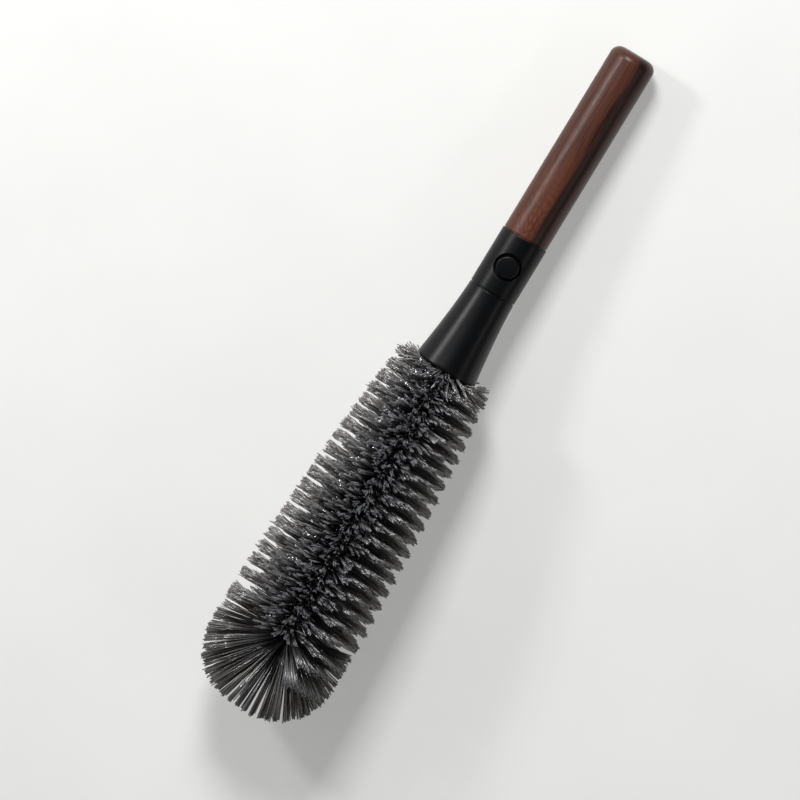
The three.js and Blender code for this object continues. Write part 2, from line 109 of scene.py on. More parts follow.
# Arrays go into the mesh as they are; doubles at seams and poles are merged where asked.
def makePiece(name, points, faces, material, crease=32, merge=True):
    mesh = bpy.data.meshes.new(name)
    points = points.reshape(-1, 3)
    mesh.vertices.add(len(points))
    mesh.vertices.foreach_set("co", toRow(points).astype(np.float32).ravel())
    mesh.loops.add(faces.size)
    mesh.loops.foreach_set("vertex_index", faces.astype(np.int32).ravel())
    mesh.polygons.add(len(faces))
    mesh.polygons.foreach_set("loop_start", np.arange(0, faces.size, 4, dtype=np.int32))
    mesh.update(calc_edges=True)
    if merge:
        shell = bmesh.new()
        shell.from_mesh(mesh)
        bmesh.ops.remove_doubles(shell, verts=shell.verts, dist=mergeDistance)
        bmesh.ops.dissolve_degenerate(shell, edges=shell.edges, dist=sliverLength)
        bmesh.ops.recalc_face_normals(shell, faces=shell.faces)
        shell.to_mesh(mesh)
        shell.free()
    mesh.polygons.foreach_set("use_smooth", np.ones(len(mesh.polygons), dtype=bool))
    mesh.set_sharp_from_angle(angle=math.radians(crease))
    mesh.materials.append(material)
    piece = bpy.data.objects.new(name, mesh)
    bpy.context.scene.collection.objects.link(piece)
    return piece


def unit(vectors):
    return vectors / np.linalg.norm(vectors, axis=-1, keepdims=True)


# The part of a direction that stands square to another one, at unit length.
def squareTo(direction, ahead):
    return unit(direction - ahead * np.sum(direction * ahead, axis=-1, keepdims=True))


# Points about the brush axis: x is radius times sine of the angle, y the height, z radius times cosine.
def aroundAxis(radius, height, angle):
    return np.stack(np.broadcast_arrays(radius * np.sin(angle), height, radius * np.cos(angle)), axis=-1)


def outward(angle):
    return aroundAxis(1.0, 0.0, angle)


# Offset square to the outward direction: one part along the brush, one part round it.
def offsetAt(angle, along, roundIt):
    return aroundAxis(roundIt, along, angle + np.pi / 2)


# Round stretch of a profile: points at even angles on a circle about (radius, height).
def roundCorner(radius, height, size, fromDegrees, toDegrees, steps):
    angle = np.radians(np.linspace(fromDegrees, toDegrees, steps + 1))
    return np.stack([radius + size * np.cos(angle), height + size * np.sin(angle)], axis=-1)


# Corners of a raised ring in a profile: up at its outer radius, across, and down at its inner one.
def stepRing(outer, inner, level, rise):
    return [(outer, level), (outer, level + rise), (inner, level + rise), (inner, level)]


# Profile of radius and height, turned about the brush axis.
def turnedGrid(profile, around):
    radius, height = np.asarray(profile, float).T[:, :, None]
    points = aroundAxis(radius, height, np.linspace(0, 2 * np.pi, around, endpoint=False))
    return points, gridFaces(len(points), around)


# A round bar: rings of the given radius about a path, set square to it, one direction kept beside it.
def barGrid(path, beside, radius, sides):
    ahead = unit(np.gradient(path, axis=0))
    first = squareTo(beside, ahead)
    second = np.cross(ahead, first)
    turn = np.linspace(0, 2 * np.pi, sides, endpoint=False)[None, :, None]
    rings = path[:, None] + radius * (np.cos(turn) * first[:, None] + np.sin(turn) * second[:, None])
    ends = np.repeat(path[[0, -1], None], sides, axis=1)
    points = np.concatenate([ends[:1], rings, ends[1:]])
    return points, gridFaces(len(points), sides)


blockRound = {"turn": 15.0, "inset": (1, 0.3, 0, 0, 0.3, 1), "level": (0, 0.3, 1, -1, -0.3, 0)}


# A block with eased edges: a rounded square outline, drawn in a little at its lower and upper end.
def blockGrid(low, high, ease):
    low, high = np.asarray(low, float), np.asarray(high, float)
    middle, half = (low + high) / 2, (high - low) / 2
    turn = np.radians(np.arange(0, 360, blockRound["turn"]))
    ring = np.stack([np.cos(turn), np.sin(turn)], axis=-1)
    inset = ease * np.array(blockRound["inset"])[:, None, None]
    level = ease * np.array(blockRound["level"])[:, None]
    points = np.empty((len(level) + 2, len(turn), 3))
    points[1:-1, :, :2] = middle[:2] + (half[:2] - ease) * np.sign(np.round(ring, 6)) + (ease - inset) * ring
    points[1:-1, :, 2] = np.repeat([low[2], high[2]], len(level) // 2)[:, None] + level
    points[[0, -1]] = middle
    points[0, :, 2] = low[2]
    points[-1, :, 2] = high[2]
    return points, gridFaces(len(points), len(turn))


# Each named input of a node takes the link of a socket, or the plain value that is given.
def setInputs(tree, node, inputs):
    for key, value in inputs.items():
        if isinstance(value, bpy.types.NodeSocket):
            tree.links.new(value, node.inputs[key])
        else:
            node.inputs[key].default_value = value


def addNode(tree, kind, inputs=None, **settings):
    node = tree.nodes.new(kind)
    for key, value in settings.items():
        setattr(node, key, value)
    setInputs(tree, node, inputs or {})
    return node


def addMath(tree, operation, *values):
    return addNode(tree, "ShaderNodeMath", dict(enumerate(values)), operation=operation).outputs[0]


def addMix(tree, factor, first, second, blend="MIX"):
    sockets = {0: factor, 6: first, 7: second}  # the factor and the two colours of a colour mix
    return addNode(tree, "ShaderNodeMix", sockets, data_type="RGBA", blend_type=blend).outputs[2]


def addRange(tree, value, start, end, low=0.0, high=1.0, interpolation="LINEAR"):
    return addNode(tree, "ShaderNodeMapRange", {
        "Value": value, "From Min": start, "From Max": end, "To Min": low, "To Max": high},
        interpolation_type=interpolation).outputs["Result"]


def addNoise(tree, place, scale, detail, roughness=0.5, distortion=0.0):
    return addNode(tree, "ShaderNodeTexNoise", {
        "Vector": place, "Scale": scale, "Detail": detail, "Roughness": roughness,
        "Distortion": distortion}).outputs["Fac"]


def addStretch(tree, place, scale):
    return addNode(tree, "ShaderNodeMapping", {"Vector": place, "Scale": scale}).outputs["Vector"]


def addGrey(tree, level):
    return addNode(tree, "ShaderNodeCombineColor", {"Red": level, "Green": level, "Blue": level}).outputs[0]


def addBump(tree, height, strength, distance):
    return addNode(tree, "ShaderNodeBump", {
        "Height": height, "Strength": strength, "Distance": distance}).outputs["Normal"]


def grey(value):
    return (value, value, value, 1.0)


# sRGB values from 0 to 255 as the linear colour that the shader takes.
def paint(red, green, blue):
    value = np.array([red, green, blue]) / 255
    return (*np.where(value <= 0.04045, value / 12.92, ((value + 0.055) / 1.055) ** 2.4), 1.0)


# Stops are pairs of a place and a colour, or of a place and a plain level of grey.
def addRamp(tree, factor, stops, interpolation="LINEAR"):
    node = addNode(tree, "ShaderNodeValToRGB", {"Fac": factor})
    node.color_ramp.interpolation = interpolation
    elements = node.color_ramp.elements
    while len(elements) < len(stops):
        elements.new(0.5)
    for element, (place, colour) in zip(elements, stops):
        element.position = place
        element.color = colour if isinstance(colour, tuple) else grey(colour)
    return node.outputs["Color"]


# Object coordinates turned to the brush frame, in millimetres: x along the brush, y and z across it.
def brushCoords(tree):
    source = addNode(tree, "ShaderNodeTexCoord").outputs["Object"]
    return addNode(tree, "ShaderNodeMapping", {
        "Vector": source, "Location": buttSpot, "Rotation": (0, -restTilt, 0), "Scale": (millimetre,) * 3,
    }, vector_type="TEXTURE").outputs["Vector"]


def newMaterial(name, constants):
    material = bpy.data.materials.new(name)
    material.use_nodes = True
    tree = material.node_tree
    shader = tree.nodes["Principled BSDF"]
    setInputs(tree, shader, constants)
    return material, tree, shader


# Shared effect: fine moulded grain with faint clouding and a few rubbed flecks, for every black moulding.
# A noise is given by its scale, detail, roughness and distortion, as far as they aren't the usual ones.
grainLook = {
    "cloud": (0.16, 4.0, 0.6), "cloudShare": 0.35, "grainDetail": 2.0, "grainSwing": 0.5, "swingMiddle": 0.75,
    "fleck": (1.1, 5.0, 0.7), "fleckStretch": (0.35, 1.6, 1.6), "fleckFrom": 0.72, "fleckShare": 0.35,
    "bumpDepth": 0.00004,
}
grainSockets = (
    ("INPUT", "Vector", "Vector"), ("INPUT", "Colour", "Color"), ("INPUT", "Rubbed Colour", "Color"),
    ("INPUT", "Roughness", "Float"), ("INPUT", "Roughness Spread", "Float"),
    ("INPUT", "Grain Scale", "Float"), ("OUTPUT", "Colour", "Color"),
    ("OUTPUT", "Roughness", "Float"), ("OUTPUT", "Height", "Float"),
)


def buildMouldedGrain():
    look = grainLook
    group = bpy.data.node_groups.new("mouldedGrain", "ShaderNodeTree")
    for way, name, kind in grainSockets:
        group.interface.new_socket(name, in_out=way, socket_type="NodeSocket" + kind)
    given = group.nodes.new("NodeGroupInput").outputs
    place, rubbedColour = given["Vector"], given["Rubbed Colour"]
    cloud = addNoise(group, place, *look["cloud"])
    grain = addNoise(group, place, given["Grain Scale"], look["grainDetail"])
    fleck = addNoise(group, addStretch(group, place, look["fleckStretch"]), *look["fleck"])
    flecked = addMath(group, "GREATER_THAN", fleck, look["fleckFrom"])
    cloudMask = addMath(group, "MULTIPLY", cloud, look["cloudShare"])
    clouded = addMix(group, cloudMask, given["Colour"], rubbedColour)
    colour = addMix(group, addMath(group, "MULTIPLY", flecked, look["fleckShare"]), clouded, rubbedColour)
    swing = addMath(group, "MULTIPLY_ADD", grain, look["grainSwing"], cloud)
    centred = addMath(group, "SUBTRACT", swing, look["swingMiddle"])
    roughness = addMath(group, "MULTIPLY_ADD", centred, given["Roughness Spread"], given["Roughness"])
    addNode(group, "NodeGroupOutput", {"Colour": colour, "Roughness": roughness, "Height": grain})
    return group


mouldedGrain = buildMouldedGrain()


def mouldedMaterial(name, finish):
    material, tree, shader = newMaterial(name, {"Specular IOR Level": finish["specular"]})
    grain = addNode(tree, "ShaderNodeGroup", {
        "Vector": brushCoords(tree), "Colour": finish["colour"], "Rubbed Colour": finish["rubbed"],
        "Roughness": finish["roughness"], "Roughness Spread": finish["spread"],
        "Grain Scale": finish["grain"]}, node_tree=mouldedGrain).outputs
    setInputs(tree, shader, {
        "Base Color": grain["Colour"], "Roughness": grain["Roughness"],
        "Normal": addBump(tree, grain["Height"], finish["bump"], grainLook["bumpDepth"])})
    return material


# Satin dark wood: a dark band runs along the grip on its side away from the key lamp, wood layers with painted
# shade in them; fine streaks and pores follow the grain, and arched growth lines on a redder ground stand near the
# collar.
handleFinish = {
    "ground": paint(88, 51, 40), "dark": paint(29, 15, 11), "red": paint(118, 67, 51),
    "waver": (0.8, 3.0), "waverStretch": (0.035, 0.34, 0.34),
    "layerTurn": (0.95, -0.3), "layerDepth": 28.0, "layerWaver": 6.5,
    "layersAndShade": ((0.0, 0.6), (0.2, 0.2), (0.33, 0.03), (0.45, 0.1), (0.53, 0.86),
               (0.61, 0.97), (0.7, 0.5), (0.85, 0.36), (1.0, 0.7)),
    "redFrom": 48.0, "redTo": 94.0, "redWaver": 1.6, "redLess": -0.1,
    "streak": (1.0, 5.0, 0.65, 0.35), "streakStretch": (0.03, 1.1, 1.1),
    "streakMask": ((0.42, 0.0), (0.68, 0.6)),
    "archPitch": 1.7, "archBend": 0.16, "archLength": 0.42, "archSway": 9.0, "archShare": 0.5,
    "fibre": (1.0, 3.0, 0.6), "fibreStretch": (0.16, 5.0, 5.0), "fibreShare": 0.8,
    "fibreShades": ((0.34, 0.6), (0.5, 1.0), (0.7, 1.25)),
    "poreFrom": 0.35, "poreTo": 0.65, "poreRoughness": 0.44, "roughness": 0.28,
    "specular": 0.24, "bump": 0.3, "bumpDepth": 0.00006,
}


def woodMaterial():
    look = handleFinish
    material, tree, shader = newMaterial("handleWood", {"Specular IOR Level": look["specular"]})
    place = brushCoords(tree)
    along, across, above = addNode(tree, "ShaderNodeSeparateXYZ", {"Vector": place}).outputs
    waver, streak, fibre = (addNoise(tree, addStretch(tree, place, look[name + "Stretch"]), *look[name])
                            for name in ("waver", "streak", "fibre"))
    layer = addMath(tree, "ADD", addMath(tree, "MULTIPLY", across, look["layerTurn"][0]),
                    addMath(tree, "MULTIPLY", above, look["layerTurn"][1]))
    wavered = addMath(tree, "MULTIPLY_ADD", addMath(tree, "SUBTRACT", waver, 0.5), look["layerWaver"], layer)
    depth = addMath(tree, "MULTIPLY_ADD", wavered, 1 / look["layerDepth"], 0.5)
    # painted shade: the darkest band of this ramp lies on the grip's side away from the key lamp
    layerShade = addRamp(tree, depth, look["layersAndShade"], "EASE")
    redness = addRange(tree, along, look["redFrom"], look["redTo"], interpolation="SMOOTHSTEP")
    patch = addMath(tree, "MULTIPLY_ADD", waver, look["redWaver"], look["redLess"])
    warmed = addMix(tree, addMath(tree, "MULTIPLY", redness, patch), look["ground"], look["red"])
    streakMask = addRamp(tree, streak, look["streakMask"], "EASE")
    bowed = addMath(tree, "MULTIPLY", addMath(tree, "MULTIPLY", across, across), look["archBend"])
    arched = addMath(tree, "MULTIPLY_ADD", along, look["archLength"], bowed)
    swayed = addMath(tree, "MULTIPLY_ADD", waver, look["archSway"], arched)
    arches = addMath(tree, "SINE", addMath(tree, "MULTIPLY", swayed, 2 * math.pi / look["archPitch"]))
    archMask = addMath(tree, "MULTIPLY", addMath(tree, "MULTIPLY_ADD", arches, 0.5, 0.5),
                       addMath(tree, "MULTIPLY", redness, look["archShare"]))
    shadedLayers = addMix(tree, layerShade, warmed, look["dark"])
    streaked = addMix(tree, addMath(tree, "MAXIMUM", streakMask, archMask), shadedLayers, look["dark"])
    fibred = addMix(tree, look["fibreShare"], streaked, addRamp(tree, fibre, look["fibreShades"]), "MULTIPLY")
    rough = addRange(tree, fibre, look["poreFrom"], look["poreTo"], look["poreRoughness"], look["roughness"])
    setInputs(tree, shader, {"Base Color": fibred, "Roughness": rough,
                             "Normal": addBump(tree, fibre, look["bump"], look["bumpDepth"])})
    return material


# Bright drawn wire: roughness and tone waver in fine scratches along the brush.
steelFinish = {"dull": paint(128, 130, 134), "bright": paint(186, 189, 193), "dullTo": 0.3, "brightFrom": 0.7,
               "scratch": (1.0, 4.0), "stretch": (0.6, 9.0, 9.0), "roughness": 0.18, "spread": 0.25,
               "bump": 0.15, "bumpDepth": 0.00003}


def steelMaterial():
    look = steelFinish
    material, tree, shader = newMaterial("drawnSteel", {"Metallic": 1.0})
    scratch = addNoise(tree, addStretch(tree, brushCoords(tree), look["stretch"]), *look["scratch"])
    tones = ((look["dullTo"], look["dull"]), (look["brightFrom"], look["bright"]))
    setInputs(tree, shader, {
        "Base Color": addRamp(tree, scratch, tones),
        "Roughness": addMath(tree, "MULTIPLY_ADD", scratch, look["spread"], look["roughness"]),
        "Normal": addBump(tree, scratch, look["bump"], look["bumpDepth"])})
    return material


# Nylon filament: every strand has its own tone; painted shade darkens it towards its root, deep in the brush, and
# a painted warm backlight makes it browner where it stands to the side.
filamentFinish = {
    "root": paint(16, 16, 18), "body": paint(118, 118, 120), "end": paint(96, 98, 105),
    "backlitBrown": paint(100, 94, 88), "backlitShare": 0.75, "backlitFrom": 0.35, "bodyFrom": 0.6, "bodyTo": 0.93,
    "mottle": (1.6, 2.0), "mottleShare": 0.3, "toneShare": 1.1, "toneLeast": 0.3,
    "roughness": 0.24, "roughnessSpread": 0.12, "specular": 1.0, "index": 1.6,
}


def filamentMaterial():
    look = filamentFinish
    material, tree, shader = newMaterial("bristleNylon", {
        "Specular IOR Level": look["specular"], "IOR": look["index"]})
    tone, reach, sideways = (addNode(tree, "ShaderNodeAttribute", attribute_name=name).outputs["Fac"]
                             for name in ("tone", "reach", "sideways"))
    mottle = addNoise(tree, brushCoords(tree), *look["mottle"])
    # painted shade: each strand runs from a near black root to its body colour, for the shade deep inside the
    # brush
    body = addRamp(tree, reach, ((0.0, look["root"]), (look["bodyFrom"], look["body"]),
                                 (look["bodyTo"], look["body"]), (1.0, look["end"])))
    # painted warm backlight: strands that stand to the side turn browner towards their outer part
    backlit = addMix(tree, addMath(tree, "MULTIPLY", sideways, look["backlitShare"]), body, look["backlitBrown"])
    backlitMask = addRamp(tree, reach, ((look["backlitFrom"], 0.0), (look["bodyFrom"], 1.0)))
    warmed = addMix(tree, backlitMask, body, backlit)
    ownTone = addMath(tree, "MULTIPLY_ADD", tone, look["toneShare"], look["toneLeast"])
    shade = addGrey(tree, addMath(tree, "MULTIPLY_ADD", mottle, look["mottleShare"], ownTone))
    smoothest = look["roughness"] - look["roughnessSpread"] / 2
    setInputs(tree, shader, {
        "Base Color": addMix(tree, 1.0, warmed, shade, "MULTIPLY"),
        "Roughness": addMath(tree, "MULTIPLY_ADD", tone, look["roughnessSpread"], smoothest)})
    return material


mouldedFinishes = {
    "collarBlack": {"colour": paint(7, 8, 10), "rubbed": paint(14, 15, 18), "roughness": 0.36, "spread": 0.1,
                    "grain": 5.0, "bump": 0.22, "specular": 0.18},
    "buttonBlack": {"colour": paint(6, 7, 9), "rubbed": paint(13, 14, 16), "roughness": 0.38, "spread": 0.1,
                    "grain": 6.0, "bump": 0.18, "specular": 0.16},
    "neckBlack": {"colour": paint(7, 8, 10), "rubbed": paint(12, 13, 15), "roughness": 0.34, "spread": 0.08,
                  "grain": 5.0, "bump": 0.08, "specular": 0.2},
    "innerBlack": {"colour": paint(34, 36, 39), "rubbed": paint(52, 54, 58), "roughness": 0.52,
                   "spread": 0.12, "grain": 3.0, "bump": 0.25, "specular": 0.4},
}

handleWood = woodMaterial()
collarBlack, buttonBlack, neckBlack, innerBlack = (
    mouldedMaterial(name, finish) for name, finish in mouldedFinishes.items())
drawnSteel = steelMaterial()
bristleNylon = filamentMaterial()
print("materials built")

# Handle: well rounded butt with a small flat, straight grip, bore for the tenon, pilot hole for the screw.
handleShape = {"length": 97.0, "radius": 11.0, "buttRound": 4.6, "edge": 0.4, "bore": 6.3, "boreEnd": 73.0,
               "pilot": 2.2, "pilotEnd": 53.3, "step": 0.36, "stepOut": 10.6, "stepIn": 9.4,
               "flatGap": 0.4, "backGap": 0.6, "frontGap": 0.4, "rows": 24, "around": 128}


# Profile from the middle of the butt, over its round and along the grip, to the floor of the pilot hole.
def makeHandle():
    shape = handleShape
    radius, length, edge, butt = (shape[key] for key in ("radius", "length", "edge", "buttRound"))
    flat = radius - butt
    side = np.linspace(butt + shape["backGap"], length - edge - shape["frontGap"], shape["rows"])
    profile = np.concatenate([
        [(0, 0), (flat / 2, 0), (flat - shape["flatGap"], 0)],
        roundCorner(flat, butt, butt, -90, 0, steps=20),
        np.stack([np.full_like(side, radius), side], axis=-1),
        roundCorner(radius - edge, length - edge, edge, 0, 90, steps=5),
        stepRing(shape["stepOut"], shape["stepIn"], length, shape["step"]),
        [(shape["bore"], length), (shape["bore"], shape["boreEnd"]), (shape["pilot"], shape["boreEnd"]),
         (shape["pilot"], shape["pilotEnd"]), (0, shape["pilotEnd"])],
    ])
    points, faces = turnedGrid(profile, shape["around"])
    return makePiece("handleGrip", points, faces, handleWood)


handleGrip = makeHandle()
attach(handleGrip, "handle")
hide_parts("handle")
print("handle turned")

# Collar sleeve: outer and inner skin are patches that run from the button's round hole to a square
# window, closed behind by plain tube walls, with a lip at the front and a sunk ring round the button.
collarShape = {"radius": 11.35, "inner": 9.5, "back": 97.4, "front": 125.9, "edge": 0.4, "lip": 1.5,
               "lipRadius": 5.84, "keyHalf": 1.3, "keyDepth": 6.69, "buttonHeight": 112.4, "hole": 5.5,
               "moat": 6.4, "moatFloor": 9.95, "ease": 0.22, "step": 0.36, "stepOut": 10.85, "stepIn": 9.6,
               "window": 66.0, "innerGap": 0.2, "perSide": 28, "behind": 56, "outerRows": 16,
               "innerRows": 8, "crowding": 1.25}


# Window outline in (angle, height): four straight runs between its corners, as one closed loop.
def windowLoop(low, high, half):
    run = np.linspace(0, 1, collarShape["perSide"], endpoint=False)
    whole = np.ones_like(run)
    angle = half * np.concatenate([2 * run - 1, whole, 1 - 2 * run, -whole])
    height = low + (high - low) * np.concatenate([0 * run, run, whole, 1 - run])
    return angle, height


# Ring about the button's axis lying on a tube of the given radius: z is the tube's height above x.
def ringOnTube(reach, bearing, tube):
    x = reach * np.cos(bearing)
    y = collarShape["buttonHeight"] + reach * np.sin(bearing)
    return np.stack([x, y, np.sqrt(tube ** 2 - x ** 2)], axis=-1)


# Rows from a ring on the tube to the window's outline, closer together near the ring.
def skinRows(start, tube, loop, rows):
    angle, height = loop
    share = np.linspace(0, 1, rows + 1)[:, None] ** collarShape["crowding"]
    x = start[:, 0] + share * (tube * np.sin(angle) - start[:, 0])
    y = start[:, 1] + share * (height - start[:, 1])
    return np.stack([x, y, np.sqrt(np.maximum(tube ** 2 - x ** 2, 0))], axis=-1)


# Tube wall behind the window: an even grid of angle and height on the tube.
def tubeBehind(tube, low, high, half):
    rows, columns = collarShape["perSide"] + 1, collarShape["behind"] + 1
    angle = np.linspace(half, 2 * np.pi - half, columns)
    points = aroundAxis(tube, np.linspace(low, high, rows)[:, None], angle)
    return points, gridFaces(rows, columns, closed=False)


# Ring of profile rows at the angles of the window and the tube wall; a radius may change with the angle.
def endRing(profile, half):
    front = np.linspace(-half, half, collarShape["perSide"], endpoint=False)
    rear = np.linspace(half, 2 * np.pi - half, collarShape["behind"], endpoint=False)
    angle = np.concatenate([front, rear])
    radius = np.stack([np.broadcast_to(reach(angle) if callable(reach) else reach, angle.shape)
                       for reach, _ in profile])
    points = aroundAxis(radius, np.array([height for _, height in profile])[:, None], angle)
    return points, gridFaces(len(profile), len(angle))


# Inner edge of the lip: round, with a flat bottomed slot for the key on the underside.
def lipEdge(angle):
    shape = collarShape
    fromBelow = angle - np.pi
    inSlot = np.abs(fromBelow) < shape["keyHalf"] / shape["keyDepth"]
    return np.where(inSlot, shape["keyDepth"] / np.cos(fromBelow), shape["lipRadius"])


def makeCollar():
    shape = collarShape
    radius, inner, back, front, edge, ease, hole, moat, moatFloor = (shape[key] for key in (
        "radius", "inner", "back", "front", "edge", "ease", "hole", "moat", "moatFloor"))
    half = math.radians(shape["window"])
    lipBack = front - shape["lip"]
    outerEnds = (back + edge, front - edge)
    innerEnds = (back + shape["innerGap"], lipBack - shape["innerGap"])
    outerLoop = windowLoop(*outerEnds, half)
    innerLoop = windowLoop(*innerEnds, half)
    bearing = np.arctan2(outerLoop[1] - shape["buttonHeight"], radius * np.sin(outerLoop[0]))
    steps = [(hole, inner), (hole, moatFloor), (moat, moatFloor),
             *roundCorner(moat + ease, radius - ease, ease, 180, 90, steps=4)]
    rings = np.stack([ringOnTube(reach, bearing, tube) for reach, tube in steps])
    outer = np.concatenate([rings, skinRows(rings[-1], radius, outerLoop, shape["outerRows"])[1:]])
    innerSkin = skinRows(rings[0], inner, innerLoop, shape["innerRows"])
    backRing = [(inner, innerEnds[0]), (inner, back),
                *roundCorner(radius - edge, back + edge, edge, -90, 0, steps=5)]
    frontRing = [*roundCorner(radius - edge, front - edge, edge, 0, 90, steps=5),
                 *stepRing(shape["stepOut"], shape["stepIn"], front, shape["step"]),
                 (lipEdge, front), (lipEdge, lipBack), (inner, lipBack), (inner, innerEnds[1])]
    points, faces = joinGrids([
        (outer, gridFaces(len(outer), len(bearing))), (innerSkin, gridFaces(len(innerSkin), len(bearing))),
        tubeBehind(radius, *outerEnds, half), tubeBehind(inner, *innerEnds, half),
        endRing(backRing, half), endRing(frontRing, half)])
    return makePiece("collarSleeve", points, faces, collarBlack, crease=40)


collarSleeve = makeCollar()
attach(collarSleeve, "handle")
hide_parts("collar_sleeve")
print("collar sleeve shaped")

# Release button: a shallow dome with a rounded edge over a hollow skirt, two keeper tabs and the wedge.
buttonShape = {"radius": 5.2, "top": 11.9, "dome": 0.25, "domeRows": 10, "round": 0.8, "roundEnd": 84,
               "sideGap": 0.3, "roof": 10.5, "skirt": 0.8, "bottom": 8.187, "tabWidth": 4.0, "tabHeight": 0.8,
               "tabOut": 0.45, "tabHalf": 0.75, "wedgeLow": 7.487, "wedgeHalf": 1.2, "wedgeThick": 0.5,
               "wedgeInto": 0.4, "ease": 0.15, "around": 96}


# Points about the brush axis are set up about the button's own axis, with heights from the brush axis.
def atButton(points):
    return points[..., [0, 2, 1]] + np.array([0, collarShape["buttonHeight"], 0])


# Profile down inside the skirt, up outside it and over a dome that falls off with the radius squared.
def makeButton():
    shape = buttonShape
    radius, roof, bottom = shape["radius"], shape["roof"], shape["bottom"]
    edge = shape["top"] - shape["dome"] - shape["round"]
    rim = radius - shape["round"]
    share = np.linspace(1, 0, shape["domeRows"])
    profile = np.concatenate([
        [(0, roof), (radius - shape["skirt"], roof), (radius - shape["skirt"], bottom),
         (radius, bottom), (radius, edge - shape["sideGap"])],
        roundCorner(rim, edge, shape["round"], 0, shape["roundEnd"], steps=10),
        np.stack([rim * share, shape["top"] - shape["dome"] * share ** 2], axis=-1)])
    cup, cupFaces = turnedGrid(profile, shape["around"])
    middle = collarShape["buttonHeight"]
    wide, tabHalf, ease = shape["tabWidth"] / 2, shape["tabHalf"], shape["ease"]
    tabTop, tabOut = bottom + shape["tabHeight"], radius + shape["tabOut"]
    tabs = [blockGrid((-wide, spot - tabHalf, bottom), (wide, spot + tabHalf, tabTop), ease)
            for spot in (middle + tabOut, middle - tabOut)]
    wedge = blockGrid((-shape["wedgeHalf"], middle - shape["wedgeThick"], shape["wedgeLow"]),
                      (shape["wedgeHalf"], middle + shape["wedgeThick"], roof + shape["wedgeInto"]), ease)
    points, faces = joinGrids([(atButton(cup), cupFaces), *tabs, wedge])
    return makePiece("releaseButton", points, faces, buttonBlack)


releaseButton = makeButton()
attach(releaseButton, "button")
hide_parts("release_button")
print("button shaped")

# Button spring: a round wire on a helix about the button's axis, pressed together with the button.
springShape = {"wire": 0.25, "radius": 3.85, "low": 6.937, "high": 9.95, "turns": 2.5, "keep": 0.52,
               "steps": 120, "sides": 10}


def makeSpring():
    shape = springShape
    angle = np.linspace(0, 2 * np.pi * shape["turns"], shape["steps"] + 1)
    path = aroundAxis(shape["radius"], np.linspace(shape["low"], shape["high"], len(angle)), angle)
    points, faces = barGrid(atButton(path), outward(angle)[:, [0, 2, 1]], shape["wire"], shape["sides"])
    return makePiece("buttonSpring", points, faces, drawnSteel)


buttonSpring = makeSpring()
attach(buttonSpring, "handle")
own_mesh(buttonSpring)
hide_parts("button_spring")
print("spring wound")

# Neck: nearly straight at the collar, flaring to a rounded mouth, thin walled and open at the front.
neckShape = {"back": 126.3, "length": 41.0, "rootRadius": 11.35, "mouthRadius": 15.4, "flare": 1.45,
             "wall": 1.8, "floor": 2.2, "edge": 0.4, "edgeGap": 0.4, "hole": 5.49, "rows": 40, "around": 128}
neckMouth = neckShape["back"] + neckShape["length"]


# Outer radius: root radius plus the flare's share of the height raised to a power.
def neckRadius(height):
    shape = neckShape
    share = np.clip((height - shape["back"]) / shape["length"], 0, 1)
    return shape["rootRadius"] + (shape["mouthRadius"] - shape["rootRadius"]) * share ** shape["flare"]


# Profile from the hole in the floor, up the outside, over the rounded rim and down the inside.
def makeNeck():
    shape = neckShape
    back, edge, hole = shape["back"], shape["edge"], shape["hole"]
    rim = shape["wall"] / 2
    end = neckMouth - rim
    cavity = back + shape["floor"]
    outside = np.linspace(back + edge + shape["edgeGap"], end, shape["rows"])
    inside = np.linspace(end, cavity, shape["rows"])[1:]
    profile = np.concatenate([
        [(hole, back)],
        roundCorner(shape["rootRadius"] - edge, back + edge, edge, -90, 0, steps=5),
        np.stack([neckRadius(outside), outside], axis=-1),
        roundCorner(neckRadius(end) - rim, end, rim, 0, 180, steps=10)[1:],
        np.stack([neckRadius(inside) - shape["wall"], inside], axis=-1),
        [(hole, cavity), (hole, back)],
    ])
    points, faces = turnedGrid(profile, shape["around"])
    return makePiece("neckFlare", points, faces, neckBlack)


neckFlare = makeNeck()
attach(neckFlare, "head")
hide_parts("neck_shell")
print("neck turned")

# Spigot: grooved plug with a key, a flange behind the neck's floor and a hub that takes the wires.
spigotShape = {"nose": 104.8, "radius": 5.187, "noseEase": 1.2, "noseGap": 0.3, "groove": 4.187,
               "grooveHalf": 0.8, "grooveSlope": 0.5, "flangeBack": 128.8, "flangeFront": 131.0,
               "flangeRadius": 9.32, "flangeEdge": 0.3, "hub": 6.0, "hubFront": 150.0, "hubEdge": 1.0,
               "bore": 3.1, "boreFloor": 133.0, "keyHalf": 1.0, "keyBack": 117.9, "keyFront": 126.0,
               "keyDepth": 6.387, "keyInto": 0.5, "keyEase": 0.2, "around": 96}


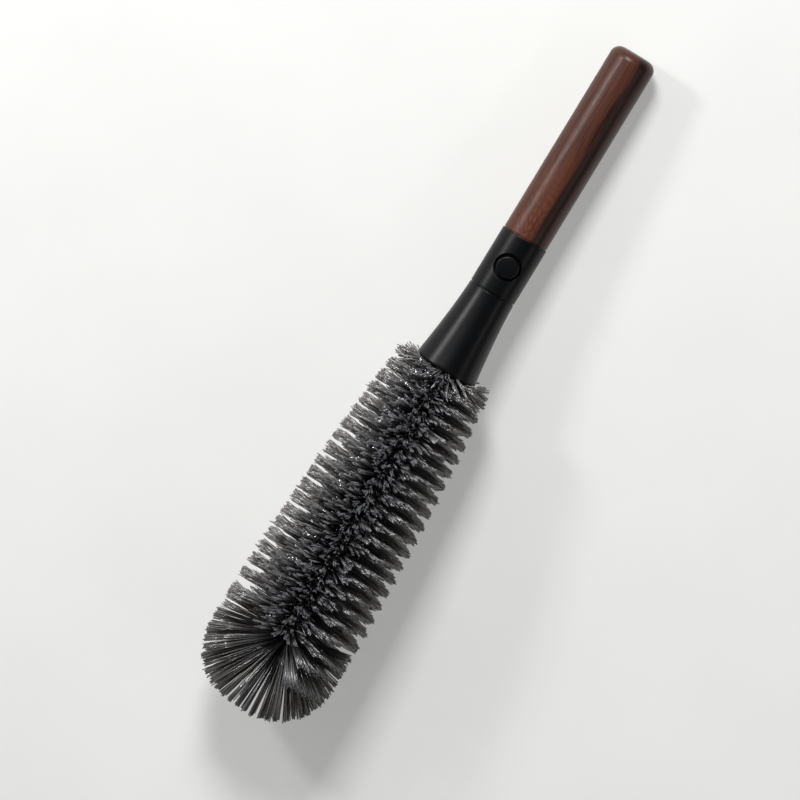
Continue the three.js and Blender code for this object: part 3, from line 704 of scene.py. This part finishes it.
# Profile from the nose's middle, over the groove, the flange and the hub, to the floor of the wires' bore.
def makeSpigot():
    shape = spigotShape
    radius, ease, nose, groove, hub, hubFront = (shape[key] for key in (
        "radius", "noseEase", "nose", "groove", "hub", "hubFront"))
    flange, bevel = shape["flangeRadius"], shape["flangeEdge"]
    grooveBack = collarShape["buttonHeight"] - shape["grooveHalf"]
    grooveFront = collarShape["buttonHeight"] + shape["grooveHalf"]
    flangeBack, flangeFront = shape["flangeBack"], shape["flangeFront"]
    profile = np.concatenate([
        [(0, nose), (radius - ease - shape["noseGap"], nose)],
        roundCorner(radius - ease, nose + ease, ease, -90, 0, steps=6),
        [(radius, grooveBack - shape["grooveSlope"]), (groove, grooveBack), (groove, grooveFront),
         (radius, grooveFront), (radius, flangeBack), (flange - bevel, flangeBack),
         (flange, flangeBack + bevel), (flange, flangeFront - bevel), (flange - bevel, flangeFront),
         (hub, flangeFront), (hub, hubFront - shape["hubEdge"]), (hub - shape["hubEdge"], hubFront),
         (shape["bore"], hubFront), (shape["bore"], shape["boreFloor"]), (0, shape["boreFloor"])],
    ])
    key = blockGrid((-shape["keyHalf"], shape["keyBack"], -shape["keyDepth"]),
                    (shape["keyHalf"], shape["keyFront"], shape["keyInto"] - groove), shape["keyEase"])
    points, faces = joinGrids([turnedGrid(profile, shape["around"]), key])
    return makePiece("spigotPlug", points, faces, innerBlack)


spigotPlug = makeSpigot()
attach(spigotPlug, "head")
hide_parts("spigot")
print("spigot turned")

# The head bends at three hinges: zones meet midway between them, where each follows one body only.
zoneReach = (hingeHeights[1] - hingeHeights[0]) / 2
zoneCuts = [hingeHeights[0] - zoneReach] + [height + zoneReach for height in hingeHeights]
zoneNodes = [["bristles_1"], ["bristles_1", "bristles_2"], ["bristles_2", "bristles_3"],
             ["bristles_3", "bristles_4"], ["bristles_4"]]
lastZone = len(zoneNodes) - 1
headBodies = ["head", "head_bend_1", "head_bend_2", "head_bend_3"]


def carryOnHead(piece, zone):
    if zone == 0:
        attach(piece, headBodies[0])
    elif zone == lastZone:
        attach(piece, headBodies[-1])
    else:
        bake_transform(piece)


# Twisted core: two legs of one wire on a double helix, joined by a hairpin at the tip.
coreShape = {"wire": 1.0, "helix": 1.8, "lay": 13.6, "root": 134.3, "legEnd": 304.0, "sides": 12,
             "perLay": 36, "fewest": 8, "bendSteps": 16}


# Turn of the twist at a height: one full turn each lay, easing off over the last half lay.
def twistAt(height):
    shape = coreShape
    ease = shape["lay"] / 2
    past = np.clip(height - (shape["legEnd"] - ease), 0, ease)
    return 2 * np.pi * (height - hingeHeights[0] - past ** 2 / (2 * ease)) / shape["lay"]


# One leg between two heights: a helix about the axis, with the sideways direction of its ring.
def legPath(low, high):
    shape = coreShape
    height = np.linspace(low, high, max(shape["fewest"], int((high - low) / shape["lay"] * shape["perLay"])))
    angle = twistAt(height) + np.pi / 2
    return aroundAxis(shape["helix"], height, angle), offsetAt(angle, 0.0, 1.0)


def makeCore():
    shape = coreShape
    wire, sides = shape["wire"], shape["sides"]
    otherLeg = np.array([-1, 1, -1])
    cuts = [shape["root"], *zoneCuts, shape["legEnd"]]
    for zone in range(len(zoneNodes)):
        path, beside = legPath(cuts[zone], cuts[zone + 1])
        if zone < lastZone:
            grids = [barGrid(path, beside, wire, sides), barGrid(path * otherLeg, beside, wire, sides)]
        else:  # both legs and the half circle between them are one bar
            turn = np.linspace(0, np.pi, shape["bendSteps"] + 1)[1:-1, None]
            out = path[-1] * np.array([1, 0, 1])
            crown = shape["legEnd"] + shape["helix"] * np.sin(turn)
            bend = out * np.cos(turn) + np.array([0, 1, 0]) * crown
            whole = np.concatenate([path, bend, (path * otherLeg)[::-1]])
            kept = np.concatenate([beside, np.repeat(beside[-1:], len(bend), axis=0), beside[::-1]])
            grids = [barGrid(whole, kept, wire, sides)]
        points, faces = joinGrids(grids)
        piece = makePiece(f"coreWire{zone + 1}", points, faces, drawnSteel)
        carryOnHead(piece, zone)
        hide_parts("core_wire")


makeCore()
print("core wires twisted")

# Bristles: strands are gripped by the twisted wire and trimmed to one outline; each kind has its own values.
bristleShape = {
    "seed": 20417, "mouthRadius": 23.1, "radius": 32.0, "swell": 0.8, "capStart": 315.0, "blunt": 2.4,
    "longest": 70.4, "halvings": 30, "rootRadius": 1.2, "trim": 0.5, "floorGap": 0.2,
    "strand": 0.24, "strandSpread": 0.1, "strandLimits": (0.7, 1.3), "steps": (0.0, 0.36, 0.7, 1.0),
}


# Trimmed radius: swells from the neck's mouth, then a blunt round end whose two shares, of the height and
# of the radius, each raised to a power, add up to one.
def trimRadius(height):
    shape = bristleShape
    share = (height - neckMouth) / (shape["capStart"] - neckMouth)
    growth = share * (1 + shape["swell"] * (1 - share))
    body = shape["mouthRadius"] + (shape["radius"] - shape["mouthRadius"]) * growth
    past = np.clip((height - shape["capStart"]) / shape["radius"], 0, 1)
    cap = shape["radius"] * (1 - past ** shape["blunt"]) ** (1 / shape["blunt"])
    return np.where(height > shape["capStart"], cap, body)


# Length of rays until they leave the trimmed outline, by halving the stretch again and again.
def trimLength(root, ahead):
    low = np.zeros(len(root))
    high = np.full(len(root), bristleShape["longest"])
    for _ in range(bristleShape["halvings"]):
        middle = (low + high) / 2
        spot = root + ahead * middle[:, None]
        inside = np.hypot(spot[:, 0], spot[:, 2]) < trimRadius(spot[:, 1])
        low, high = np.where(inside, middle, low), np.where(inside, high, middle)
    return low


# Tips of strands on the trimmed outline, each a little long or short by chance.
def trimmedTip(root, ahead, rng):
    length = trimLength(root, ahead) + rng.normal(0, bristleShape["trim"], len(root))
    return root + ahead * length[:, None]


def rootAt(turn, height):
    return aroundAxis(bristleShape["rootRadius"], height, turn)


# Turn of the bristle sheets: one full turn each lay right up to the tip.
def evenTwist(height):
    return 2 * np.pi * (height - hingeHeights[0]) / coreShape["lay"]


# Two edges of the ribbon in turn: every second tuft stands half a turn round.
def otherEdge(tufts):
    return np.pi * (np.arange(tufts) % 2)


# Sheets: tufts straight out at the ribbon's turn, each leaning a little its own way, close together on the
# right, wider on the left and on top, all of them skewed a few degrees across the brush.
sheetShape = {
    "start": 168.6, "end": 305.2, "tuftsPerLay": 300, "tuftSize": 5, "tuftTurn": 0.06, "tuftSpread": 0.3,
    "spreadOnTop": 0.6, "topPower": 12, "leftFrom": -0.75, "leftSpan": 0.9, "fan": 0.6, "fanLeft": 2.0,
    "fanOnTop": 3.0, "drift": 0.5, "driftOnTop": 0.9, "toneSpread": 1.2, "tuftTone": 0.75,
    "fullAtMouth": 0.16, "fullFrom": 184.0, "heightJitter": 0.28, "turnJitter": 0.015, "skew": 0.06,
    "leanFrom": 289.0, "leanLength": 16.0, "lean": 0.34, "bow": 0.4, "bowOnRight": 0.35,
}


def spreadAlong(count, rng):
    start, end = sheetShape["start"], sheetShape["end"]
    return start + (end - start) * (np.arange(count) + rng.random(count)) / count


def sheetStrands(rng):
    shape = sheetShape
    lays = (shape["end"] - shape["start"]) / coreShape["lay"]
    tufts = int(lays * shape["tuftsPerLay"])
    place = spreadAlong(tufts, rng)
    angle = evenTwist(place) + otherEdge(tufts) + rng.normal(0, shape["tuftTurn"], tufts)
    onTop = np.cos(angle) ** shape["topPower"]
    leftShare = np.clip((np.sin(angle) - shape["leftFrom"]) / shape["leftSpan"], 0, 1)
    onLeft = leftShare ** 2 * (3 - 2 * leftShare)  # eased at both ends
    fan = shape["fan"] + shape["fanLeft"] * onLeft + shape["fanOnTop"] * onTop
    lean = rng.uniform(-1, 1, tufts) * fan
    drift = rng.normal(0, shape["drift"] + shape["driftOnTop"] * onTop, tufts)
    tuftTone = rng.beta(shape["toneSpread"], shape["toneSpread"], tufts)
    copy = np.repeat(np.arange(tufts), shape["tuftSize"])
    fromMouth = (place[copy] - shape["start"]) / (shape["fullFrom"] - shape["start"])
    full = shape["fullAtMouth"] + (1 - shape["fullAtMouth"]) * fromMouth
    copy = copy[rng.random(len(copy)) < full]
    count = len(copy)
    height = place[copy] + rng.uniform(-shape["heightJitter"], shape["heightJitter"], count)
    turn = angle[copy] + rng.normal(0, shape["turnJitter"], count)
    nearTip = np.clip((height - shape["leanFrom"]) / shape["leanLength"], 0, None) ** 2
    forward = nearTip * shape["lean"] * np.sin(turn) ** 2 - shape["skew"] * np.sin(turn)
    tipAlong = lean[copy] + rng.normal(0, shape["tuftSpread"], count)
    roundSpread = shape["tuftSpread"] * (1 + shape["spreadOnTop"] * onTop[copy])
    tipRound = drift[copy] + rng.normal(0, roundSpread, count)
    root = rootAt(turn, height)
    straight = aroundAxis(np.cos(forward), np.sin(forward), turn)
    ahead = unit(straight + offsetAt(turn, tipAlong, tipRound) / trimRadius(height)[:, None])
    tip = trimmedTip(root, ahead, rng)
    bow = shape["bow"] * (shape["bowOnRight"] + (1 - shape["bowOnRight"]) * onLeft[copy])
    sagAlong = rng.normal(0, 1, count) * bow
    sagRound = rng.normal(0, 1, count) * bow
    tone = shape["tuftTone"] * tuftTone[copy] + (1 - shape["tuftTone"]) * rng.random(count)
    return root, (root + tip) / 2 + offsetAt(turn, sagAlong, sagRound), tip, turn, tone


# Inner strands: shorter ones between the sheets, on top and on the left, that close the view to the core.
innerShape = {"perLength": 17, "reach": (0.58, 0.82), "turn": (-0.5, 2.2), "alongSpread": 0.07,
              "roundSpread": 0.08, "bow": 0.4, "tone": 0.6}


def innerStrands(rng):
    shape = innerShape
    count = int((sheetShape["end"] - sheetShape["start"]) * shape["perLength"])
    height = spreadAlong(count, rng)
    turn = rng.uniform(*shape["turn"], count)
    root = rootAt(turn, height)
    tipAlong = rng.normal(0, shape["alongSpread"], count) - sheetShape["skew"] * np.sin(turn)
    tipRound = rng.normal(0, shape["roundSpread"], count)
    ahead = unit(outward(turn) + offsetAt(turn, tipAlong, tipRound))
    length = trimLength(root, ahead) * rng.uniform(*shape["reach"], count)
    tip = root + ahead * length[:, None]
    sagAlong = rng.normal(0, shape["bow"], count)
    sagRound = rng.normal(0, shape["bow"], count)
    tone = shape["tone"] * rng.random(count)
    return root, (root + tip) / 2 + offsetAt(turn, sagAlong, sagRound), tip, turn, tone


# Rim strands: tufts rooted inside the neck rise to its mouth, round the rim and lean on to the outline.
# Heights are counted from the mouth.
rimShape = {"tufts": 70, "rootFrom": -10.8, "rootTo": 1.1, "tuftTurn": 0.12, "onwardPower": 1.6,
            "turnJitter": 0.02, "heightJitter": 0.3, "tipFrom": 1.6, "tipRise": 8.5, "tipJitter": 0.4,
            "shorter": 0.16, "drift": 0.6, "bendRadius": (10.4, 12.2), "bendHeight": (0.6, 1.9)}


def rimStrands(rng):
    shape = rimShape
    tufts = shape["tufts"]
    place = np.linspace(neckMouth + shape["rootFrom"], neckMouth + shape["rootTo"], tufts)
    angle = twistAt(place) + otherEdge(tufts) + rng.normal(0, shape["tuftTurn"], tufts)
    copy = np.repeat(np.arange(tufts), sheetShape["tuftSize"])
    count = len(copy)
    onward = (rng.random(tufts) ** shape["onwardPower"])[copy]
    turn = angle[copy] + rng.normal(0, shape["turnJitter"], count)
    height = place[copy] + rng.uniform(-shape["heightJitter"], shape["heightJitter"], count)
    tipHeight = neckMouth + shape["tipFrom"] + shape["tipRise"] * onward
    tipHeight += rng.normal(0, shape["tipJitter"], count)
    tipReach = trimRadius(tipHeight) * (1 - shape["shorter"] * onward * rng.random(count))
    tipReach += rng.normal(0, bristleShape["trim"], count)
    tip = aroundAxis(tipReach, tipHeight, turn) + offsetAt(turn, 0.0, rng.normal(0, shape["drift"], count))
    bendRadius = rng.uniform(*shape["bendRadius"], count)
    bendHeight = neckMouth + rng.uniform(*shape["bendHeight"], count)
    return rootAt(turn, height), aroundAxis(bendRadius, bendHeight, turn), tip, turn, rng.random(count)


# Strays: single strands at the two sides of the mouth, bent a little backward past the rim. Heights are
# counted from the mouth.
strayShape = {"strands": 64, "turn": 0.75, "rootHeight": (1.0, 1.7), "bendRadius": (14.5, 16.0),
              "bendHeight": (2.0, 2.9), "tipRadius": (18.5, 23.0), "tipHeight": (-2.7, 0.7)}


def strayStrands(rng):
    shape = strayShape
    count = shape["strands"]
    turn = np.pi / 2 + otherEdge(count) + rng.uniform(-shape["turn"], shape["turn"], count)
    root = rootAt(turn, neckMouth + rng.uniform(*shape["rootHeight"], count))
    bendRadius = rng.uniform(*shape["bendRadius"], count)
    bendHeight = neckMouth + rng.uniform(*shape["bendHeight"], count)
    tipRadius = rng.uniform(*shape["tipRadius"], count)
    tipHeight = neckMouth + rng.uniform(*shape["tipHeight"], count)
    middle = aroundAxis(bendRadius, bendHeight, turn)
    return root, middle, aroundAxis(tipRadius, tipHeight, turn), turn, rng.random(count)


# Fan at the tip: tufts at even swings in the plane of the last ribbon, with a narrow gap between them.
fanShape = {"tufts": 37, "tuftSize": 22, "half": 102.0, "side": -2.0, "height": 307.0, "tone": 0.7,
            "toneSpread": 0.8, "tuftTone": 0.7, "tuftSwing": 0.012, "tilt": 0.05, "tuftTilt": 0.13,
            "swingJitter": 0.018, "tiltJitter": 0.045, "rootJitter": 0.5, "bend": 0.3}


# Strands from the tip of the wire: each goes out along a swing in the fan's plane and a tilt out of it.
def tipStrands(swing, tilt, shape, rng):
    count = len(swing)
    swing = swing + rng.normal(0, shape["swingJitter"], count)
    tilt = tilt + rng.normal(0, shape["tiltJitter"], count)
    ahead = np.stack([np.sin(swing) * np.cos(tilt), np.cos(swing) * np.cos(tilt), np.sin(tilt)], axis=-1)
    height = fanShape["height"] + rng.normal(0, shape["rootJitter"], count)
    spot = np.stack(np.broadcast_arrays(fanShape["side"], height, 0.0), axis=-1)
    root = spot + ahead * bristleShape["rootRadius"]
    tip = trimmedTip(root, ahead, rng)
    middle = (root + tip) / 2 + rng.normal(0, shape["bend"], (count, 3))
    return root, middle, tip, np.arctan2(ahead[:, 0], ahead[:, 2])


def fanStrands(rng):
    shape = fanShape
    tufts = shape["tufts"]
    half = math.radians(shape["half"])
    swing = np.linspace(-half, half, tufts) + rng.normal(0, shape["tuftSwing"], tufts)
    tilt = rng.normal(shape["tilt"], shape["tuftTilt"], tufts)
    tuftTone = rng.beta(shape["toneSpread"], shape["toneSpread"], tufts)
    copy = np.repeat(np.arange(tufts), shape["tuftSize"])
    strands = tipStrands(swing[copy], tilt[copy], shape, rng)
    tone = shape["tuftTone"] * tuftTone[copy] + (1 - shape["tuftTone"]) * rng.random(len(copy))
    return *strands, shape["tone"] * tone


# Rounded end: an even spiral over the cap, gathered to the swings of the fan's tufts, soon thinning out
# above the fan and slowly below it.
capShape = {"strands": 1500, "angle": 66.0, "thinAbove": 0.34, "thinBelow": 1.3, "swingJitter": 0.018,
            "tiltJitter": 0.02, "rootJitter": 0.8, "bend": 0.4}
goldenAngle = math.pi * (3 - math.sqrt(5))


def capStrands(rng):
    shape = capShape
    number = np.arange(shape["strands"])
    rise = 1 - (1 - math.cos(math.radians(shape["angle"]))) * (number + 0.5) / shape["strands"]
    flat = np.sqrt(1 - rise ** 2)
    tilt = np.arcsin(flat * np.cos(number * goldenAngle))
    pitch = 2 * math.radians(fanShape["half"]) / (fanShape["tufts"] - 1)
    swing = np.round(np.arctan2(flat * np.sin(number * goldenAngle), rise) / pitch) * pitch
    density = np.where(tilt > 0, 1 - tilt / shape["thinAbove"], 1 + tilt / shape["thinBelow"])
    kept = rng.random(len(number)) < density
    strands = tipStrands(swing[kept], tilt[kept], shape, rng)
    return *strands, fanShape["tone"] * rng.random(len(strands[0]))


# Last ramps of the sheet on the right: from the side up to the crest, each leaning further over the tip.
rampShape = {"lean": (0.27, 0.56), "strands": 130, "rise": (0.4, 1.2), "height": 305.5, "turnJitter": 0.02,
             "leanJitter": 0.018, "rootJitter": 0.4, "bend": 0.15}


def rampStrands(rng):
    shape = rampShape
    lean = np.repeat(shape["lean"], shape["strands"])
    count = len(lean)
    rise = np.tile(np.linspace(*shape["rise"], shape["strands"]), len(shape["lean"]))
    turn = rise - np.pi / 2 + rng.normal(0, shape["turnJitter"], count)
    lean = lean + rng.normal(0, shape["leanJitter"], count)
    root = rootAt(turn, shape["height"] + rng.normal(0, shape["rootJitter"], count))
    tip = trimmedTip(root, aroundAxis(np.cos(lean), np.sin(lean), turn), rng)
    middle = (root + tip) / 2 + rng.normal(0, shape["bend"], (count, 3))
    return root, middle, tip, turn, rng.random(count)


# A strand is a four sided prism along a curve from root to tip, drawn towards a middle point: the two ends
# count by their shares squared, the middle point by twice the product of the shares.
def strandGrid(root, middle, tip, turn, rng):
    shape = bristleShape
    count, steps, sides = len(root), len(shape["steps"]), 4
    share = np.array(shape["steps"])[None, :, None]
    root, middle, tip = root[:, None], middle[:, None], tip[:, None]
    centre = root * (1 - share) ** 2 + middle * 2 * share * (1 - share) + tip * share ** 2
    ahead = unit(2 * (1 - share) * (middle - root) + 2 * share * (tip - middle))
    first = squareTo(offsetAt(turn, 0.0, 1.0)[:, None], ahead)
    second = np.cross(ahead, first)
    spread = (1 + shape["strandSpread"] * rng.normal(0, 1, count)).clip(*shape["strandLimits"])
    radius = shape["strand"] * spread[:, None, None, None]
    corner = rng.uniform(0, np.pi / 2, count)[:, None] + np.arange(sides) * np.pi / 2
    corner = corner[:, None, :, None]
    aside = np.cos(corner) * first[:, :, None] + np.sin(corner) * second[:, :, None]
    points = centre[:, :, None] + radius * aside
    ring = np.arange(sides)
    prism = np.concatenate([gridFaces(steps, sides), [ring[::-1], ring + sides * (steps - 1)]])
    faces = (prism + sides * steps * np.arange(count)[:, None, None]).reshape(-1, sides)
    return points.reshape(-1, 3), faces


def makeBristles():
    shape = bristleShape
    rng = np.random.default_rng(shape["seed"])
    makers = (sheetStrands, innerStrands, rimStrands, strayStrands, fanStrands, capStrands, rampStrands)
    root, middle, tip, turn, tone = (np.concatenate(rows) for rows in zip(*[make(rng) for make in makers]))
    zone = np.searchsorted(zoneCuts, root[:, 1])
    for number, nodes in enumerate(zoneNodes):
        chosen = zone == number
        count = int(chosen.sum())
        points, faces = strandGrid(root[chosen], middle[chosen], tip[chosen], turn[chosen], rng)
        perStrand, facesEach = len(points) // count, len(faces) // count
        lift = np.maximum(shape["floorGap"] - toRow(points)[:, 2] / millimetre, 0)
        points = points + lift[:, None] * brushAxes[:, 2]  # straight up in the row frame, off the floor
        piece = makePiece(f"bristleTufts{number + 1}", points, faces, bristleNylon, crease=180, merge=False)
        roundSides = np.tile(np.arange(facesEach) < facesEach - 2, count)  # the two ends stay flat
        piece.data.polygons.foreach_set("use_smooth", roundSides)
        # the sideways share drives the painted warm backlight, the reach drives the painted root shade
        attributes = {"tone": np.repeat(tone[chosen], perStrand),
                      "reach": np.tile(np.repeat(shape["steps"], perStrand // len(shape["steps"])), count),
                      "sideways": np.repeat(np.sin(turn[chosen]) ** 2, perStrand)}
        for name, values in attributes.items():
            layer = piece.data.attributes.new(name, "FLOAT", "POINT")
            layer.data.foreach_set("value", values.astype(np.float32))
        carryOnHead(piece, number)
        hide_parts(*nodes)
        print("bristles zone", number + 1, "with", count, "strands")


makeBristles()

# CAD parts that stay as they are take the same finishes.
plainParts = {"socket_insert": innerBlack, "handle_screw": drawnSteel, "latch_clip": drawnSteel}
for node, material in plainParts.items():
    mesh = frame["nodes"][node].data
    mesh.materials.clear()
    mesh.materials.append(material)
print("CAD parts finished")

# Pale floor: a large plain square with faint clouds, which glows only to the camera and to mirrored rays.
floorLook = {"colour": paint(205, 205, 203), "cloud": (14.0, 3.0), "cloudShade": 0.97,
             "cloudRange": (0.3, 0.7), "glow": 0.5, "roughness": 0.85, "specular": 0.2, "size": 6.0}


def floorMaterial():
    look = floorLook
    material, tree, shader = newMaterial("paleFloor", {
        "Roughness": look["roughness"], "Specular IOR Level": look["specular"]})
    source = addNode(tree, "ShaderNodeTexCoord").outputs["Object"]
    shaded = tuple(np.array(look["colour"]) * grey(look["cloudShade"]))
    tones = tuple(zip(look["cloudRange"], (shaded, look["colour"])))
    tint = addRamp(tree, addNoise(tree, source, *look["cloud"]), tones)
    ray = addNode(tree, "ShaderNodeLightPath").outputs
    mirrored = addMath(tree, "MAXIMUM", ray["Is Glossy Ray"], ray["Is Transmission Ray"])
    seen = addMath(tree, "MAXIMUM", ray["Is Camera Ray"], mirrored)
    setInputs(tree, shader, {"Base Color": tint, "Emission Color": tint,
                             "Emission Strength": addMath(tree, "MULTIPLY", seen, look["glow"])})
    return material


def makeFloor():
    half = floorLook["size"] / 2
    mesh = bpy.data.meshes.new("paleFloor")
    corners = [(-half, -half, 0), (half, -half, 0), (half, half, 0), (-half, half, 0)]
    mesh.from_pydata(corners, [], [(0, 1, 2, 3)])
    mesh.materials.append(floorMaterial())
    floor = bpy.data.objects.new("paleFloor", mesh)
    bpy.context.scene.collection.objects.link(floor)


# A camera or lamp faces away from its backward direction; right and up are set square to it.
def placeFacing(thing, spot, backward, upward):
    right = unit(np.cross(upward, backward))
    turn = Matrix(np.stack([right, np.cross(backward, right), backward], axis=1).tolist())
    thing.matrix_world = Matrix.Translation(Vector(spot.tolist())) @ turn.to_4x4()


# Lamps: soft key on the left, a larger one high over the handle and a weak long one at the right edge.
# Each stands towards shares of the side, along and up axes; distances and sizes are in metres.
lampLook = {
    "key": {"toward": (0.83, -0.13, 0.54), "distance": 1.5, "power": 8.0, "size": (0.2, 0.2)},
    "high": {"toward": (0.4, -0.62, 0.78), "distance": 1.5, "power": 20.0, "size": (0.4, 0.4)},
    "edge": {"toward": (-0.85, 0.1, 0.55), "distance": 1.1, "power": 1.0, "size": (0.12, 0.9)},
}
lampAim = 185.0  # height on the brush that every lamp points at


def addLamp(name, look):
    lamp = bpy.data.lights.new(name, "AREA")
    lamp.shape = "RECTANGLE"
    lamp.size, lamp.size_y = look["size"]
    lamp.energy = look["power"]
    thing = bpy.data.objects.new(name, lamp)
    bpy.context.scene.collection.objects.link(thing)
    direction = unit(np.array(look["toward"]) @ brushAxes)
    placeFacing(thing, axisPoint(lampAim) + direction * look["distance"], direction, alongAxis)
    thing.visible_camera = False


# View: from the button's side, leaned a little, with the brush running down and left in the picture.
viewLook = {"lean": math.radians(3.7), "runsDown": 0.8545, "runsLeft": 0.5195, "targetAlong": 189.6,
            "targetSide": 10.4, "distance": 6.0, "width": 0.3629, "sensor": 36.0}


def makeView():
    look = viewLook
    backward = -math.sin(look["lean"]) * alongAxis + math.cos(look["lean"]) * upAxis
    shown = math.cos(look["lean"]) * alongAxis + math.sin(look["lean"]) * upAxis
    upward = look["runsLeft"] * sideAxis - look["runsDown"] * shown
    camera = bpy.data.cameras.new("view")
    camera.sensor_width = look["sensor"]
    camera.lens = look["sensor"] * look["distance"] / look["width"]
    thing = bpy.data.objects.new("view", camera)
    bpy.context.scene.collection.objects.link(thing)
    target = toRow([look["targetSide"], look["targetAlong"], 0])
    placeFacing(thing, target + backward * look["distance"], backward, upward)
    bpy.context.scene.camera = thing


# Room light: dim, rising smoothly to a bright side where the key stands, by the direction's share sideways.
roomLook = {"dark": 0.07, "light": 0.6, "riseFrom": 0.5, "riseTo": 0.95}


def makeRoom():
    look = roomLook
    world = bpy.data.worlds.new("paleRoom")
    bpy.context.scene.world = world
    world.use_nodes = True
    tree = world.node_tree
    direction = addNode(tree, "ShaderNodeTexCoord").outputs["Generated"]
    aside = addNode(tree, "ShaderNodeVectorMath", {0: direction, 1: tuple(sideAxis)}, operation="DOT_PRODUCT")
    level = addRange(tree, aside.outputs["Value"], look["riseFrom"], look["riseTo"],
                     look["dark"], look["light"], "SMOOTHSTEP")
    setInputs(tree, tree.nodes["Background"], {"Color": addGrey(tree, level)})


makeFloor()
makeView()
for lampName, lampValues in lampLook.items():
    addLamp(lampName, lampValues)
makeRoom()
bpy.context.scene.view_settings.view_transform = "Standard"
print("stage and view set")
